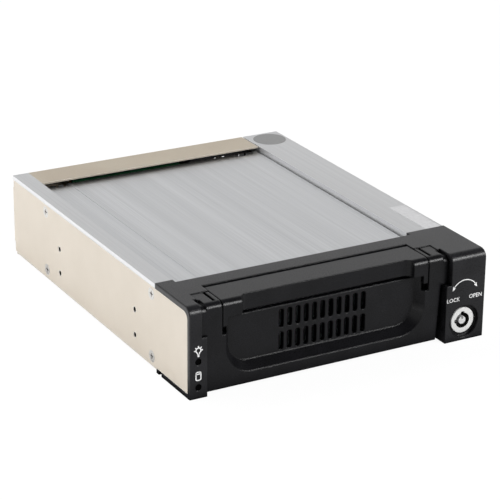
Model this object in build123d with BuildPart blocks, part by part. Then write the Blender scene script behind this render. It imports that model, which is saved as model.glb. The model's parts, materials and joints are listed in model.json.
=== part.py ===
"""Hot swap drive cage for a half-height 5.25-inch bay, with a pull-out tray for one 3.5-inch drive.

Millimetres. X is to the right as seen from the front, Y runs to the rear, Z is up.
The origin is the middle of the underside.
"""

import os

from build123d import *

# Overall sizes, from the 5.25-inch bay standard and from the photograph
overall_depth = 187.0
body_width = 146.0
body_top = 40.65
bezel_edge = 0.2
bezel_top = 41.2

# Running gaps
slide_gap = 0.5
moulding_gap = 0.3
seat_gap = 0.1
pin_gap = 0.03
cut_margin = 1.0

# Places along the depth
block_front = -overall_depth / 2
rear_face = overall_depth / 2
column_front = block_front + 1.9
tray_front = block_front + 3.1
band_rear = block_front + 30.8
band_depth = 8.5
band_front = band_rear - band_depth
shoulder_rear = band_rear + 2.8
rail_front = shoulder_rear + seat_gap

# The tray opening, between the light column on the left and the lock block on the right
column_width = 8.1
block_width = 20.1
opening_left = column_width - body_width / 2
opening_right = body_width / 2 - block_width
tray_x = (opening_left + opening_right) / 2
opening_half = (opening_right - opening_left) / 2
opening_floor = 1.2
skin = 2.8
opening_roof = bezel_top - skin

# The ears of the tray front, which fit into notches of the bezel
ear_half = opening_half + 2.2
ear_main_half = opening_half + 0.7
ear_step_z = 27.2
ear_strip_depth = 7.0
ear_length = 12.7
ear_top = bezel_top - 0.3
ear_strip_top = ear_top - 1.0

# The bezel moulding
moulding_wall = 3.0
bezel_round = 4.0
bezel_corner = 0.5
lip_drop = 1.8
lip_length = 28.0
foot_gap = 2.4
foot_length = 2.3
sill_setback = 10.4

# Sheet metal
panel_sheet = 1.0
panel_bottom = 2.0
panel_top = 38.7
panel_front = column_front + 2.1
panel_corner = 3.4
panel_end_jog = 0.8
panel_jog_low = 7.0
panel_jog_high = 35.0
pan_sheet = 0.8
pan_wall_height = 8.0
pan_bend = 0.7

# Standard mounting holes of a 5.25-inch drive, threaded M3
bay_hole_r = 1.25
bay_hole_setback = 53.8
bay_hole_pitch_y = 79.25
bay_hole_z = 9.5
bay_hole_pitch_z = 11.94
bottom_hole_inset = 3.15
pan_slot_pitch_x = 11.0
pan_slot_pitch_y = 46.0
pan_slot_length = 28.0
pan_slot_width = 4.0

# Countersunk screws, used everywhere on the cage
screw_head_r = 2.7
screw_hole_r = 1.8
screw_core_r = 1.25
screw_shank_r = 1.2
screw_length = 5.0
cross_length = 2.8
cross_width = 0.6
cross_depth = 0.6
side_screw_setback = 37.5
side_screw_pitch_y = 110.6
side_screw_low_z = 5.85
side_screw_high_z = 34.9

# Rails
rail_top_web = 1.85
rail_wall = 1.5
rail_side_gap = 0.5
rail_lip_height = 5.0
rail_boss_width = 4.6
rail_boss_height = 6.0
rail_bottom = pan_wall_height + 1.0

# Rear panel and its folded top
flange_depth = 16.8
flange_sheet = 0.8
guard_hub_r = 6.5
guard_inner_r = 9.8
guard_outer_r = 13.2
guard_bar = 1.4
port_gap = 0.3

# Lock
lock_x = opening_right + 9.8
lock_z = 9.0
recess_r = 7.7
recess_depth = 2.0
lock_face = 5.0
lock_wall = 2.0
ring_r = 6.0
ring_round = 0.3
ring_thickness = 0.8
barrel_r = 5.0
barrel_fit = 0.05
barrel_length = 15.0
keyway_r = 3.5
keyway_depth = 6.0
keyway_notch_reach = 4.2
keyway_notch_depth = 3.0
keyway_notch_width = 1.8
post_r = 1.8
post_slot_width = 0.9
post_slot_length = 1.3
core_setback = 0.2
cam_thickness = 2.0
cam_reach = 12.9
cam_width = 6.0
cam_pocket_depth = 4.0
cam_screw_r = 2.6
cam_screw_height = 1.6
cam_screw_slot = 0.7
nut_flats = 12.0
nut_height = 2.5
block_floor = 1.2

# Light guides
led_x = opening_left - 4.2
led_low_z = 5.1
led_pitch_z = 11.7
led_r = 1.4
led_setback = 0.4
led_board_depth = 7.2
column_wall = 1.4

# Runners under the tray
runner_width = 7.0
runner_wall = 2.0
runner_height = 10.0
runner_setback = 2.0
runner_chamfer = 0.5

# Tray
tray_half = opening_half - slide_gap
tray_floor = 2.9
tray_sheet = 1.5
tray_top = opening_roof - 0.4
tray_cover_sheet = 1.5
tray_body_front = band_front + 0.7
tray_body_rear = rear_face - 15.9
cover_lip_height = 3.5
cover_lip_end = 10.0
cover_notch_x = opening_half - 9.6
cover_notch_width = 6.0
cover_notch_depth = 3.4
cover_hook_width = 2.4
cover_rib_x = opening_half - 14.0
cover_rib_width = 1.2
cover_rib_height = 0.2
tab_width = 8.0
tab_length = 9.0
tab_sheet = 1.5
tab_screw_x = 4.0
tab_screw_y = 4.5

# Standard bottom holes of a 3.5-inch drive, and their place from its connector end
drive_hole_r = 1.9
drive_hole_pitch_x = 95.25
drive_hole_pitch_y = 44.45
drive_hole_setback = 41.28

# Tray front
tray_front_half = opening_half - moulding_gap
tray_front_bottom = opening_floor + moulding_gap
tray_front_wall = 1.8
lock_side_slant_high = 1.0
lock_side_slant_low = 2.9
tray_wall_top = opening_roof - slide_gap
ear_bottom = ear_step_z + moulding_gap
ear_block_bottom = ear_step_z + 2.5
ear_ledge_bottom = opening_roof + moulding_gap
front_round = 3.0
pocket_half = opening_half - 9.45
pocket_bottom = 6.75
pocket_corner = 12.8
pocket_depth = 4.7
pocket_slope = 35.0
pocket_back_top = 31.6
slot_width = 2.5
slot_height = 8.5
slot_pitch_x = 4.08
slot_pitch_z = 10.5
slot_middle_x = tray_x + 0.1
slot_middle_z = 20.4
slots_across = 11
bezel_tab_sheet = 1.8
bezel_tab_length = 8.0
bezel_tab_root = 4.0
bezel_tab_low = 8.0
bezel_tab_high = 30.0
bezel_screw_pitch = 14.0

# Handle
handle_half = opening_half - 8.2
handle_side_gap = 0.6
handle_top = ear_top
handle_plate = 3.0
handle_rear = band_front - slide_gap
handle_rear_round = 1.8
apron_depth = 6.0
apron_bottom = 33.4
grip_x = tray_x + 0.85
grip_half = handle_half - 8.1
grip_setback = 4.0
grip_corner = 4.0
leg_width = 2.2
leg_depth = 3.5
leg_bottom = 29.6
leg_notch_bottom = 26.0
leg_notch_width = 3.0
leg_notch_depth = 4.0
pivot_y = tray_front + 9.0
pivot_z = ear_top - 3.5
pivot_boss_r = 3.2
pivot_boss_length = 5.0
pivot_pin_r = 1.0
lug_width = 1.5
lug_groove = 1.4
lug_groove_bottom = 35.2
lug_groove_setback = 3.0

# Fan
fan_size = 35.0
fan_depth = 10.0
fan_corner = 3.0
fan_x = opening_right - fan_size / 2 - 1.4
fan_z = 20.2
fan_duct_r = 16.3
fan_hub_r = 8.0
fan_spider = 2.0
fan_strut = 2.4
fan_axle_r = 1.5
fan_axle_length = 5.0
fan_end_gap = 0.4
fan_blade_r = 15.7
fan_blade_chord = 6.4
fan_blade_sheet = 0.8
fan_blade_pitch = 35.0
fan_blades = 7
fan_hole_pitch = 29.0

# Circuit boards and connectors
board_sheet = 1.6
backplane_y = rear_face - 10.1
board_left = opening_left + 18.9
board_right = fan_x - fan_size / 2 - 4.5
board_x = (board_left + board_right) / 2
board_width = board_right - board_left
board_bottom = 4.5
board_height = 32.0
tray_board_drop = 3.0
standoff_r = 2.5
standoff_inset = 4.0
socket_width = 33.0
socket_height = 12.0
socket_depth = 3.8
plug_width = 30.0
plug_height = 9.0
plug_z = 18.0
tongue_width = 26.0
tongue_height = 3.0
tongue_gap = 0.4
drive_connector_width = 42.0
drive_connector_height = 8.0
drive_connector_depth = 6.7
drive_connector_z = 12.0
drive_slot_width = 34.0
drive_slot_height = 3.0
drive_slot_depth = 5.0
port_z = 19.0
port_wall = 0.8
port_mouth = 8.0
data_port_x = board_x - 13.0
data_port_width = 17.0
data_port_height = 7.0
data_port_tongue = 1.6
power_port_x = board_x + 14.0
power_port_width = 22.0
power_port_height = 10.0
power_port_tongue = 2.6

# Vents in the rear wall of the tray, in front of the fan
vent_length = 24.0
vent_width = 2.0
vent_pitch = 4.0
vents = 8

half_body = body_width / 2
half_bezel = half_body + bezel_edge
panel_inner = half_body - panel_sheet
bay_hole_y = block_front + bay_hole_setback
side_screw_y = block_front + side_screw_setback
ear_rear = tray_front + ear_length
ear_strip_rear = tray_front + ear_strip_depth
lock_hollow_front = block_front + lock_face
ring_rear = block_front + recess_depth
ring_front = ring_rear - ring_thickness
core_front = ring_front + core_setback
cam_front = ring_rear + barrel_length + seat_gap
cam_rear = cam_front + cam_thickness
cam_slot_bottom = lock_z - cam_width / 2 - slide_gap
hollow_top = ear_step_z - moulding_wall
sill_front = block_front + sill_setback
lip_rear = block_front + lip_length
foot_front = lip_rear + foot_gap
led_points = [(led_x, led_low_z), (led_x, led_low_z + led_pitch_z)]
led_board_front = column_front + led_board_depth
plate_front = rear_face - panel_sheet
pan_front = band_rear + seat_gap
rail_web_bottom = body_top - rail_top_web
rear_screw_z = rail_web_bottom - rail_boss_height / 2
handle_notch_half = handle_half + slide_gap
ear_notch_half = ear_half + moulding_gap
ear_notch_main = ear_main_half + moulding_gap
lug_inner = handle_half + handle_side_gap
apron_rear = tray_front + apron_depth
pocket_rear = tray_front + pocket_depth
tray_back = tray_body_rear - tray_sheet - seat_gap
wall_top = tray_top - tray_cover_sheet
tray_inner_half = tray_half - tray_sheet
tray_board_y = tray_back - board_sheet
drive_rear = tray_board_y - drive_connector_depth - slide_gap
drive_middle_hole_y = drive_rear - drive_hole_setback - drive_hole_pitch_y / 2
fan_back = plate_front - fan_depth


def front_plane(y):
    """Plane that faces the front, at depth y: its sketch has x to the right and y up."""
    return Plane.XZ.offset(-y)


def cam_sweep_top(x):
    """Height that the turning lock cam clears at one place across the cage, with its gap."""
    return lock_z + (cam_reach**2 - (lock_x - x) ** 2) ** 0.5 + slide_gap


def rectangle(x0, x1, y0, y1, mode=Mode.ADD):
    """Rectangle between two corners, in the sketch that is open."""
    with Locations(((x0 + x1) / 2, (y0 + y1) / 2)):
        Rectangle(x1 - x0, y1 - y0, mode=mode)


def block(x0, x1, y0, y1, z0, z1, mode=Mode.ADD):
    """Block between two corners, in the part that is open."""
    with Locations(((x0 + x1) / 2, (y0 + y1) / 2, (z0 + z1) / 2)):
        Box(x1 - x0, y1 - y0, z1 - z0, mode=mode)


def side_plane(side):
    """Plane on the outer face of a side wall: side is -1 for the left and 1 for the right."""
    return Plane((side * half_body, 0, 0), x_dir=(0, side, 0), z_dir=(side, 0, 0))


def bay_hole_points(side):
    """Centres of the four standard side holes, in the side plane."""
    return [
        (side * (bay_hole_y + row * bay_hole_pitch_y), bay_hole_z + column * bay_hole_pitch_z)
        for row in range(2)
        for column in range(2)
    ]


def side_screw_points(side):
    """Centres of the four countersunk screws of one side, in the side plane."""
    return [
        (side * (side_screw_y + row * side_screw_pitch_y), z)
        for row in range(2)
        for z in (side_screw_low_z, side_screw_high_z)
    ]


def rear_screw_x(side):
    """Sideways place of the screw that holds the rear panel to a rail."""
    return side * (panel_inner - rail_boss_width / 2)


def rear_plane(x, z):
    """Plane on the outer face of the rear panel, centred on one point of it."""
    return Plane((x, rear_face, z), x_dir=(-1, 0, 0), z_dir=(0, 1, 0))


def fan_screw_points():
    """Centres of the four fan screws, across the rear panel."""
    half_pitch = fan_hole_pitch / 2
    return [(fan_x + i * half_pitch, fan_z + j * half_pitch) for i in (-1, 1) for j in (-1, 1)]


def rear_screw_points():
    """Centres of the two screws that hold the rear panel to the rails."""
    return [(rear_screw_x(side), rear_screw_z) for side in (-1, 1)]


def save(name, piece):
    """Label one finished piece and write it to its own STEP file."""
    piece.part.label = name
    export_step(piece.part, f"parts/{name}.step")


os.makedirs("parts", exist_ok=True)


# Side panels: flat painted steel, let in under the edge of the bezel
def make_side_panel(side):
    with BuildPart() as panel:
        with BuildSketch(Plane.YZ.offset(side * (half_body - panel_sheet / 2))) as outline:
            rectangle(panel_front, rear_face, panel_bottom, panel_top)
            fillet(outline.vertices().group_by(Axis.Y)[-1].sort_by(Axis.X)[0], radius=panel_corner)
            jog = rear_face - panel_end_jog
            rectangle(jog, rear_face, panel_bottom, panel_jog_low, mode=Mode.SUBTRACT)
            rectangle(jog, rear_face, panel_jog_high, panel_top, mode=Mode.SUBTRACT)
        extrude(amount=panel_sheet / 2, both=True)
        with Locations(side_plane(side)):
            with Locations(*bay_hole_points(side)):
                Hole(bay_hole_r, depth=panel_sheet)
            with Locations(*side_screw_points(side)):
                CounterSinkHole(screw_hole_r, screw_head_r, depth=panel_sheet, counter_sink_angle=90)
    return panel


left_side_panel = make_side_panel(-1)
right_side_panel = make_side_panel(1)
save("left_side_panel", left_side_panel)
save("right_side_panel", right_side_panel)


# Rails: aluminium extrusions beside the tray, whose top also caps the side panel
def make_rail(side, inner):
    outer = side * panel_inner
    inward = -side
    with BuildPart() as rail:
        low, high = sorted((side * half_body, inner))
        block(low, high, rail_front, rear_face, rail_web_bottom, body_top)
        with BuildSketch(front_plane(rail_front)):
            low, high = sorted((outer, outer + inward * rail_wall))
            rectangle(low, high, rail_bottom, rail_web_bottom)
            low, high = sorted((inner, inner + side * rail_wall))
            rectangle(low, high, body_top - rail_lip_height, rail_web_bottom)
            low, high = sorted((outer, outer + inward * rail_boss_width))
            rectangle(low, high, rail_web_bottom - rail_boss_height, rail_web_bottom)
        extrude(amount=-(plate_front - rail_front))
        with Locations(side_plane(side)):
            with Locations(*bay_hole_points(side)):
                Hole(bay_hole_r, depth=panel_sheet + rail_wall)
            with Locations(*[p for p in side_screw_points(side) if p[1] > body_top / 2]):
                Hole(screw_core_r, depth=screw_length + seat_gap)
        with Locations(rear_plane(rear_screw_x(side), rear_screw_z)):
            Hole(screw_core_r, depth=screw_length + seat_gap)
    return rail


left_rail = make_rail(-1, opening_left)
right_rail = make_rail(1, opening_right + rail_side_gap)
save("left_rail", left_rail)
save("right_rail", right_rail)


# Base pan: a shallow steel channel that closes the underside
with BuildPart() as base_pan:
    with BuildSketch(front_plane(pan_front)) as pan_section:
        rectangle(-panel_inner, panel_inner, 0, pan_wall_height)
        pan_inner = panel_inner - pan_sheet
        rectangle(-pan_inner, pan_inner, pan_sheet, pan_wall_height, mode=Mode.SUBTRACT)
        fillet(pan_section.vertices().group_by(Axis.Y)[0], radius=pan_bend)
    extrude(amount=-(plate_front - pan_front))
    bottom_hole_y = bay_hole_y + bay_hole_pitch_y / 2
    with Locations((0, bottom_hole_y, pan_sheet)):
        with GridLocations(2 * (half_body - bottom_hole_inset), bay_hole_pitch_y, 2, 2):
            Hole(bay_hole_r, depth=pan_sheet)
    for side in (-1, 1):
        with Locations(side_plane(side)):
            with Locations(*[p for p in side_screw_points(side) if p[1] < body_top / 2]):
                Hole(screw_core_r, depth=screw_length)
    with BuildSketch(Plane.XY):
        with Locations((tray_x, bottom_hole_y)):
            with GridLocations(pan_slot_pitch_x, pan_slot_pitch_y, 8, 2):
                SlotOverall(pan_slot_length, pan_slot_width, rotation=90)
    extrude(amount=pan_sheet, mode=Mode.SUBTRACT)
save("base_pan", base_pan)


# Rear panel: steel plate with a folded top, a stamped fan guard and the connector openings
with BuildPart() as rear_panel:
    flange_left = opening_left + seat_gap
    flange_right = opening_right - seat_gap
    with BuildSketch(front_plane(plate_front)):
        rectangle(-panel_inner, panel_inner, 0, rail_web_bottom - seat_gap)
        rectangle(flange_left, flange_right, 0, body_top)
    extrude(amount=-panel_sheet)
    block(flange_left, flange_right, rear_face - flange_depth, rear_face, body_top - flange_sheet, body_top)
    with BuildSketch(front_plane(plate_front)):
        with Locations((fan_x, fan_z)):
            Circle(fan_duct_r)
            for guard_r in (guard_outer_r, guard_inner_r):
                Circle(guard_r + guard_bar / 2, mode=Mode.SUBTRACT)
                Circle(guard_r - guard_bar / 2)
            Circle(guard_hub_r, mode=Mode.SUBTRACT)
            Rectangle(2 * fan_duct_r, guard_bar, rotation=45, mode=Mode.SUBTRACT)
            Rectangle(2 * fan_duct_r, guard_bar, rotation=-45, mode=Mode.SUBTRACT)
    extrude(amount=-panel_sheet, mode=Mode.SUBTRACT)
    with BuildSketch(front_plane(plate_front)):
        with Locations((data_port_x, port_z)):
            Rectangle(data_port_width + 2 * port_gap, data_port_height + 2 * port_gap)
        with Locations((power_port_x, port_z)):
            Rectangle(power_port_width + 2 * port_gap, power_port_height + 2 * port_gap)
    extrude(amount=-panel_sheet, mode=Mode.SUBTRACT)
    with Locations(*[rear_plane(x, z) for x, z in rear_screw_points() + fan_screw_points()]):
        CounterSinkHole(screw_hole_r, screw_head_r, depth=panel_sheet, counter_sink_angle=90)
save("rear_panel", rear_panel)


# Bezel: the black moulding that frames the tray, with the light column left and the lock block right
with BuildPart() as cage_bezel:
    with BuildSketch(Plane.XY.offset(opening_roof)):
        rectangle(-half_bezel, half_bezel, column_front, band_rear)
        rectangle(-half_bezel, opening_left, column_front, shoulder_rear)
        rectangle(opening_right, half_bezel, block_front, shoulder_rear)
        for half, rear in (
            (handle_notch_half, band_front),
            (ear_notch_main, ear_rear + slide_gap),
            (ear_notch_half, ear_strip_rear + slide_gap),
        ):
            rectangle(tray_x - half, tray_x + half, block_front, rear, mode=Mode.SUBTRACT)
    extrude(amount=skin)
    with BuildSketch(front_plane(column_front)):
        rectangle(-half_bezel, opening_left, 0, opening_roof)
    extrude(amount=-(band_rear - column_front))
    with BuildSketch(front_plane(block_front)):
        rectangle(opening_right, half_bezel, 0, opening_roof)
    extrude(amount=-(band_rear - block_front))
    block(tray_x - ear_notch_half, tray_x + ear_notch_half, block_front, ear_strip_rear + slide_gap,
          ear_step_z, bezel_top, mode=Mode.SUBTRACT)
    block(opening_left, opening_right, sill_front, band_rear, 0, opening_floor)
    # The round of the top front edges and of the outer corners
    high_edges = cage_bezel.edges().filter_by(Axis.X).group_by(Axis.Z)[-1]
    fillet(high_edges.filter_by(lambda e: e.center().Y < column_front + 0.1), radius=bezel_round)
    corner_edges = cage_bezel.edges().filter_by(Axis.Z)
    fillet(
        corner_edges.filter_by(lambda e: abs(e.center().X) > half_bezel - 0.1 and e.center().Y < panel_front),
        radius=bezel_corner,
    )
    # Room for the side panels under the edges of the moulding, and a small foot behind each lip
    for side in (-1, 1):
        with BuildSketch(Plane.YZ.offset(side * panel_inner)) as panel_room:
            rectangle(panel_front - seat_gap, shoulder_rear, lip_drop, panel_top + seat_gap)
            rectangle(lip_rear, shoulder_rear, 0, lip_drop)
            fillet(panel_room.vertices().group_by(Axis.Y)[-1].sort_by(Axis.X)[0], radius=panel_corner)
        extrude(amount=side * (bezel_edge + panel_sheet + cut_margin), mode=Mode.SUBTRACT)
        low, high = sorted((side * half_bezel, side * (panel_inner - panel_sheet)))
        block(low, high, foot_front, band_rear, 0, lip_drop)
        low, high = sorted((side * half_bezel, side * (panel_inner + seat_gap)))
        block(low, high, foot_front, foot_front + foot_length, 0, lip_drop)
    # Hollows behind the lights and behind the lock face, open to the rear
    block(column_wall - panel_inner, opening_left - column_wall, column_front + moulding_wall, band_rear,
          block_floor, hollow_top, mode=Mode.SUBTRACT)
    block(opening_right + lock_wall, panel_inner - column_wall, lock_hollow_front, band_rear,
          block_floor, hollow_top, mode=Mode.SUBTRACT)
    # Dished recess and hole for the lock, and the slot that its cam turns through
    with BuildSketch(front_plane(block_front)):
        with Locations((lock_x, lock_z)):
            Circle(recess_r)
    extrude(amount=-recess_depth, mode=Mode.SUBTRACT)
    with BuildSketch(front_plane(block_front)):
        with Locations((lock_x, lock_z)):
            Circle(barrel_r + barrel_fit)
    extrude(amount=-(lock_face + cut_margin), mode=Mode.SUBTRACT)
    block(opening_right - cut_margin, opening_right + lock_wall + cut_margin, cam_front - slide_gap,
          cam_rear + slide_gap, cam_slot_bottom, cam_sweep_top(opening_right + lock_wall), mode=Mode.SUBTRACT)
    # Holes for the two light guides
    with BuildSketch(front_plane(column_front)):
        with Locations(*led_points):
            Circle(led_r + seat_gap)
    extrude(amount=-(moulding_wall + cut_margin), mode=Mode.SUBTRACT)
save("cage_bezel", cage_bezel)


# Lock: a tubular lock of a barrel, a core that the key turns, and a cam that catches the tray
with BuildPart() as lock_barrel:
    with BuildSketch(front_plane(ring_rear)):
        with Locations((lock_x, lock_z)):
            Circle(ring_r)
    extrude(amount=ring_thickness)
    fillet(lock_barrel.edges().filter_by(GeomType.CIRCLE).group_by(Axis.Y)[0], radius=ring_round)
    with BuildSketch(front_plane(ring_rear)):
        with Locations((lock_x, lock_z)):
            Circle(barrel_r)
    extrude(amount=-barrel_length)
    with BuildSketch(front_plane(ring_front)):
        with Locations((lock_x, lock_z)):
            Circle(keyway_r)
    extrude(amount=-(barrel_length + ring_thickness), mode=Mode.SUBTRACT)
    with BuildSketch(front_plane(ring_front)):
        with Locations((lock_x, lock_z)):
            with PolarLocations(keyway_r, 2, start_angle=90, angular_range=180):
                Rectangle(2 * (keyway_notch_reach - keyway_r), keyway_notch_width)
    extrude(amount=-keyway_notch_depth, mode=Mode.SUBTRACT)
save("lock_barrel", lock_barrel)

with BuildPart() as lock_nut:
    with BuildSketch(front_plane(lock_hollow_front)):
        with Locations((lock_x, lock_z)):
            RegularPolygon(nut_flats / 2, 6, major_radius=False, rotation=30)
            Circle(barrel_r + barrel_fit, mode=Mode.SUBTRACT)
    extrude(amount=-nut_height)
save("lock_nut", lock_nut)

with BuildPart() as lock_core:
    with BuildSketch(front_plane(core_front)):
        with Locations((lock_x, lock_z)):
            Circle(post_r)
    extrude(amount=-keyway_depth)
    with BuildSketch(front_plane(core_front + keyway_depth)):
        with Locations((lock_x, lock_z)):
            Circle(keyway_r - 2 * pin_gap)
    extrude(amount=-(cam_front - core_front - keyway_depth))
    with BuildSketch(front_plane(core_front)):
        with Locations((lock_x, lock_z + post_r)):
            Rectangle(post_slot_width, 2 * post_slot_length)
    extrude(amount=-keyway_notch_depth, mode=Mode.SUBTRACT)
save("lock_core", lock_core)

with BuildPart() as lock_cam:
    with BuildSketch(front_plane(cam_front)) as cam_outline:
        with Locations((lock_x, lock_z)):
            Circle(cam_width / 2 + 1.0)
        rectangle(lock_x - cam_width / 2, lock_x + cam_width / 2, lock_z, lock_z + cam_reach)
        fillet(cam_outline.vertices(), radius=cam_width / 3)
    extrude(amount=-cam_thickness)
save("lock_cam", lock_cam)

with BuildPart() as cam_screw:
    with BuildSketch(front_plane(cam_rear)):
        with Locations((lock_x, lock_z)):
            Circle(cam_screw_r)
    extrude(amount=-cam_screw_height)
    with BuildSketch(front_plane(cam_rear + cam_screw_height)):
        with Locations((lock_x, lock_z)):
            Rectangle(1.2 * cam_screw_r, cam_screw_slot)
            Rectangle(cam_screw_slot, 1.2 * cam_screw_r)
    extrude(amount=cam_screw_height / 2, mode=Mode.SUBTRACT)
save("cam_screw", cam_screw)


# Lights: two clear guides in the column, and the small board that holds their lamps
with BuildPart() as led_lenses:
    with BuildSketch(front_plane(column_front + led_setback)):
        with Locations(*led_points):
            Circle(led_r)
    extrude(amount=-(led_board_depth - led_setback))
save("led_lenses", led_lenses)

with BuildPart() as led_board:
    block(column_wall + seat_gap - panel_inner, opening_left - column_wall - seat_gap, led_board_front,
          led_board_front + board_sheet, block_floor + seat_gap, hollow_top - seat_gap)
save("led_board", led_board)


# Runners: plastic strips on the pan that the tray slides on
def make_runner(side):
    edge = tray_x + side * opening_half
    with BuildPart() as runner:
        with BuildSketch(front_plane(pan_front + runner_setback)):
            low, high = sorted((edge + side * runner_wall, edge - side * runner_width))
            rectangle(low, high, pan_sheet, tray_floor - moulding_gap)
            low, high = sorted((edge + side * runner_wall, edge))
            rectangle(low, high, pan_sheet, runner_height)
        extrude(amount=-(tray_body_rear - pan_front - runner_setback))
        chamfer(runner.edges().filter_by(Axis.Y).group_by(Axis.Z)[-1], length=runner_chamfer)
    return runner


left_runner = make_runner(-1)
right_runner = make_runner(1)
save("left_runner", left_runner)
save("right_runner", right_runner)


# Countersunk cross-head screws
def make_screws(planes):
    with BuildPart() as screws:
        top = (Align.CENTER, Align.CENTER, Align.MAX)
        head_r = screw_head_r - seat_gap
        neck_r = screw_hole_r - seat_gap
        with Locations(*planes):
            Cylinder(screw_shank_r, screw_length, align=top)
            Cone(neck_r, head_r, head_r - neck_r, align=top)
            Box(cross_length, cross_width, 2 * cross_depth, mode=Mode.SUBTRACT)
            Box(cross_width, cross_length, 2 * cross_depth, mode=Mode.SUBTRACT)
    return screws


def side_screw_planes(side):
    """Planes on the heads of the four screws of one side."""
    base = side_plane(side)
    return [
        Plane(base.from_local_coords((u, v, 0)), x_dir=base.x_dir, z_dir=base.z_dir)
        for u, v in side_screw_points(side)
    ]


left_side_screws = make_screws(side_screw_planes(-1))
right_side_screws = make_screws(side_screw_planes(1))
rear_screws = make_screws([rear_plane(x, z) for x, z in rear_screw_points()])
fan_screws = make_screws([rear_plane(x, z) for x, z in fan_screw_points()])
save("left_side_screws", left_side_screws)
save("right_side_screws", right_side_screws)
save("rear_screws", rear_screws)
save("fan_screws", fan_screws)


# Fan: a square frame with a round duct, and a rotor on its own axle
with BuildPart() as fan_frame:
    with BuildSketch(front_plane(plate_front)):
        with Locations((fan_x, fan_z)):
            RectangleRounded(fan_size, fan_size, fan_corner)
            Circle(fan_duct_r, mode=Mode.SUBTRACT)
        with Locations(*fan_screw_points()):
            Circle(screw_core_r, mode=Mode.SUBTRACT)
    extrude(amount=fan_depth)
    with BuildSketch(front_plane(fan_back)):
        with Locations((fan_x, fan_z)):
            Circle(fan_hub_r)
            with PolarLocations((fan_hub_r + fan_duct_r) / 2, 3, start_angle=30):
                Rectangle(fan_duct_r - fan_hub_r + cut_margin, fan_strut)
    extrude(amount=-fan_spider)
    with BuildSketch(front_plane(fan_back + fan_spider)):
        with Locations((fan_x, fan_z)):
            Circle(fan_axle_r)
    extrude(amount=-fan_axle_length)
save("fan_frame", fan_frame)

with BuildPart() as fan_rotor:
    rotor_front = fan_back + fan_spider + fan_end_gap
    rotor_depth = plate_front - fan_end_gap - rotor_front
    with BuildSketch(front_plane(rotor_front)):
        with Locations((fan_x, fan_z)):
            Circle(fan_hub_r - seat_gap)
    extrude(amount=-rotor_depth)
    for blade in range(fan_blades):
        outward = Vector(1, 0, 0).rotate(Axis.Y, blade * 360 / fan_blades)
        blade_middle = (fan_x, rotor_front + rotor_depth / 2, fan_z)
        with BuildSketch(Plane(blade_middle, x_dir=(0, 1, 0), z_dir=outward)):
            Rectangle(fan_blade_chord, fan_blade_sheet, rotation=fan_blade_pitch)
        extrude(amount=fan_blade_r)
    with BuildSketch(front_plane(rotor_front)):
        with Locations((fan_x, fan_z)):
            Circle(fan_axle_r + pin_gap)
    extrude(amount=-fan_axle_length, mode=Mode.SUBTRACT)
save("fan_rotor", fan_rotor)


# Backplane: the fixed board behind the tray, its socket, and the ports at the rear
with BuildPart() as backplane_board:
    block(board_x - board_width / 2, board_x + board_width / 2, backplane_y, backplane_y + board_sheet,
          board_bottom, board_bottom + board_height)
save("backplane_board", backplane_board)

with BuildPart() as board_standoffs:
    with BuildSketch(front_plane(backplane_y + board_sheet)):
        with Locations((board_x, board_bottom + board_height / 2)):
            with GridLocations(board_width - 2 * standoff_inset, board_height - 2 * standoff_inset, 2, 2):
                RegularPolygon(standoff_r, 6)
    extrude(amount=-(plate_front - backplane_y - board_sheet))
save("board_standoffs", board_standoffs)

with BuildPart() as backplane_socket:
    with BuildSketch(front_plane(backplane_y)):
        with Locations((board_x, plug_z)):
            Rectangle(socket_width, socket_height)
            Rectangle(tongue_width + 2 * tongue_gap, tongue_height + 2 * tongue_gap, mode=Mode.SUBTRACT)
    extrude(amount=socket_depth)
save("backplane_socket", backplane_socket)


def make_port(x, width, height, tongue):
    """Connector shell that runs from the board through the rear panel, with a tongue inside."""
    with BuildPart() as port:
        with BuildSketch(front_plane(backplane_y + board_sheet)):
            with Locations((x, port_z)):
                Rectangle(width, height)
        extrude(amount=-(rear_face - backplane_y - board_sheet))
        with BuildSketch(front_plane(rear_face)):
            with Locations((x, port_z)):
                Rectangle(width - 2 * port_wall, height - 2 * port_wall)
                Rectangle(width - 4 * port_wall, tongue, mode=Mode.SUBTRACT)
        extrude(amount=port_mouth, mode=Mode.SUBTRACT)
    return port


data_port = make_port(data_port_x, data_port_width, data_port_height, data_port_tongue)
power_port = make_port(power_port_x, power_port_width, power_port_height, power_port_tongue)
save("data_port", data_port)
save("power_port", power_port)


# Tray body: an aluminium channel with a vented rear wall and the holes of a 3.5-inch drive
def tray_tab_points():
    """Screw places of the two tabs under the front corners of the cover, as x, y."""
    y = tray_body_front + tab_screw_y
    return [(tray_x + side * (tray_inner_half - tab_screw_x), y) for side in (-1, 1)]


def bezel_tab_planes():
    """Planes on the outer faces of the tray walls, at the screws that hold the tray front."""
    y = tray_body_front + bezel_tab_length / 2
    planes = []
    for side in (-1, 1):
        for row in (-1, 1):
            centre = (tray_x + side * tray_half, y, slot_middle_z + row * bezel_screw_pitch / 2)
            planes.append(Plane(centre, x_dir=(0, side, 0), z_dir=(side, 0, 0)))
    return planes


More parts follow.
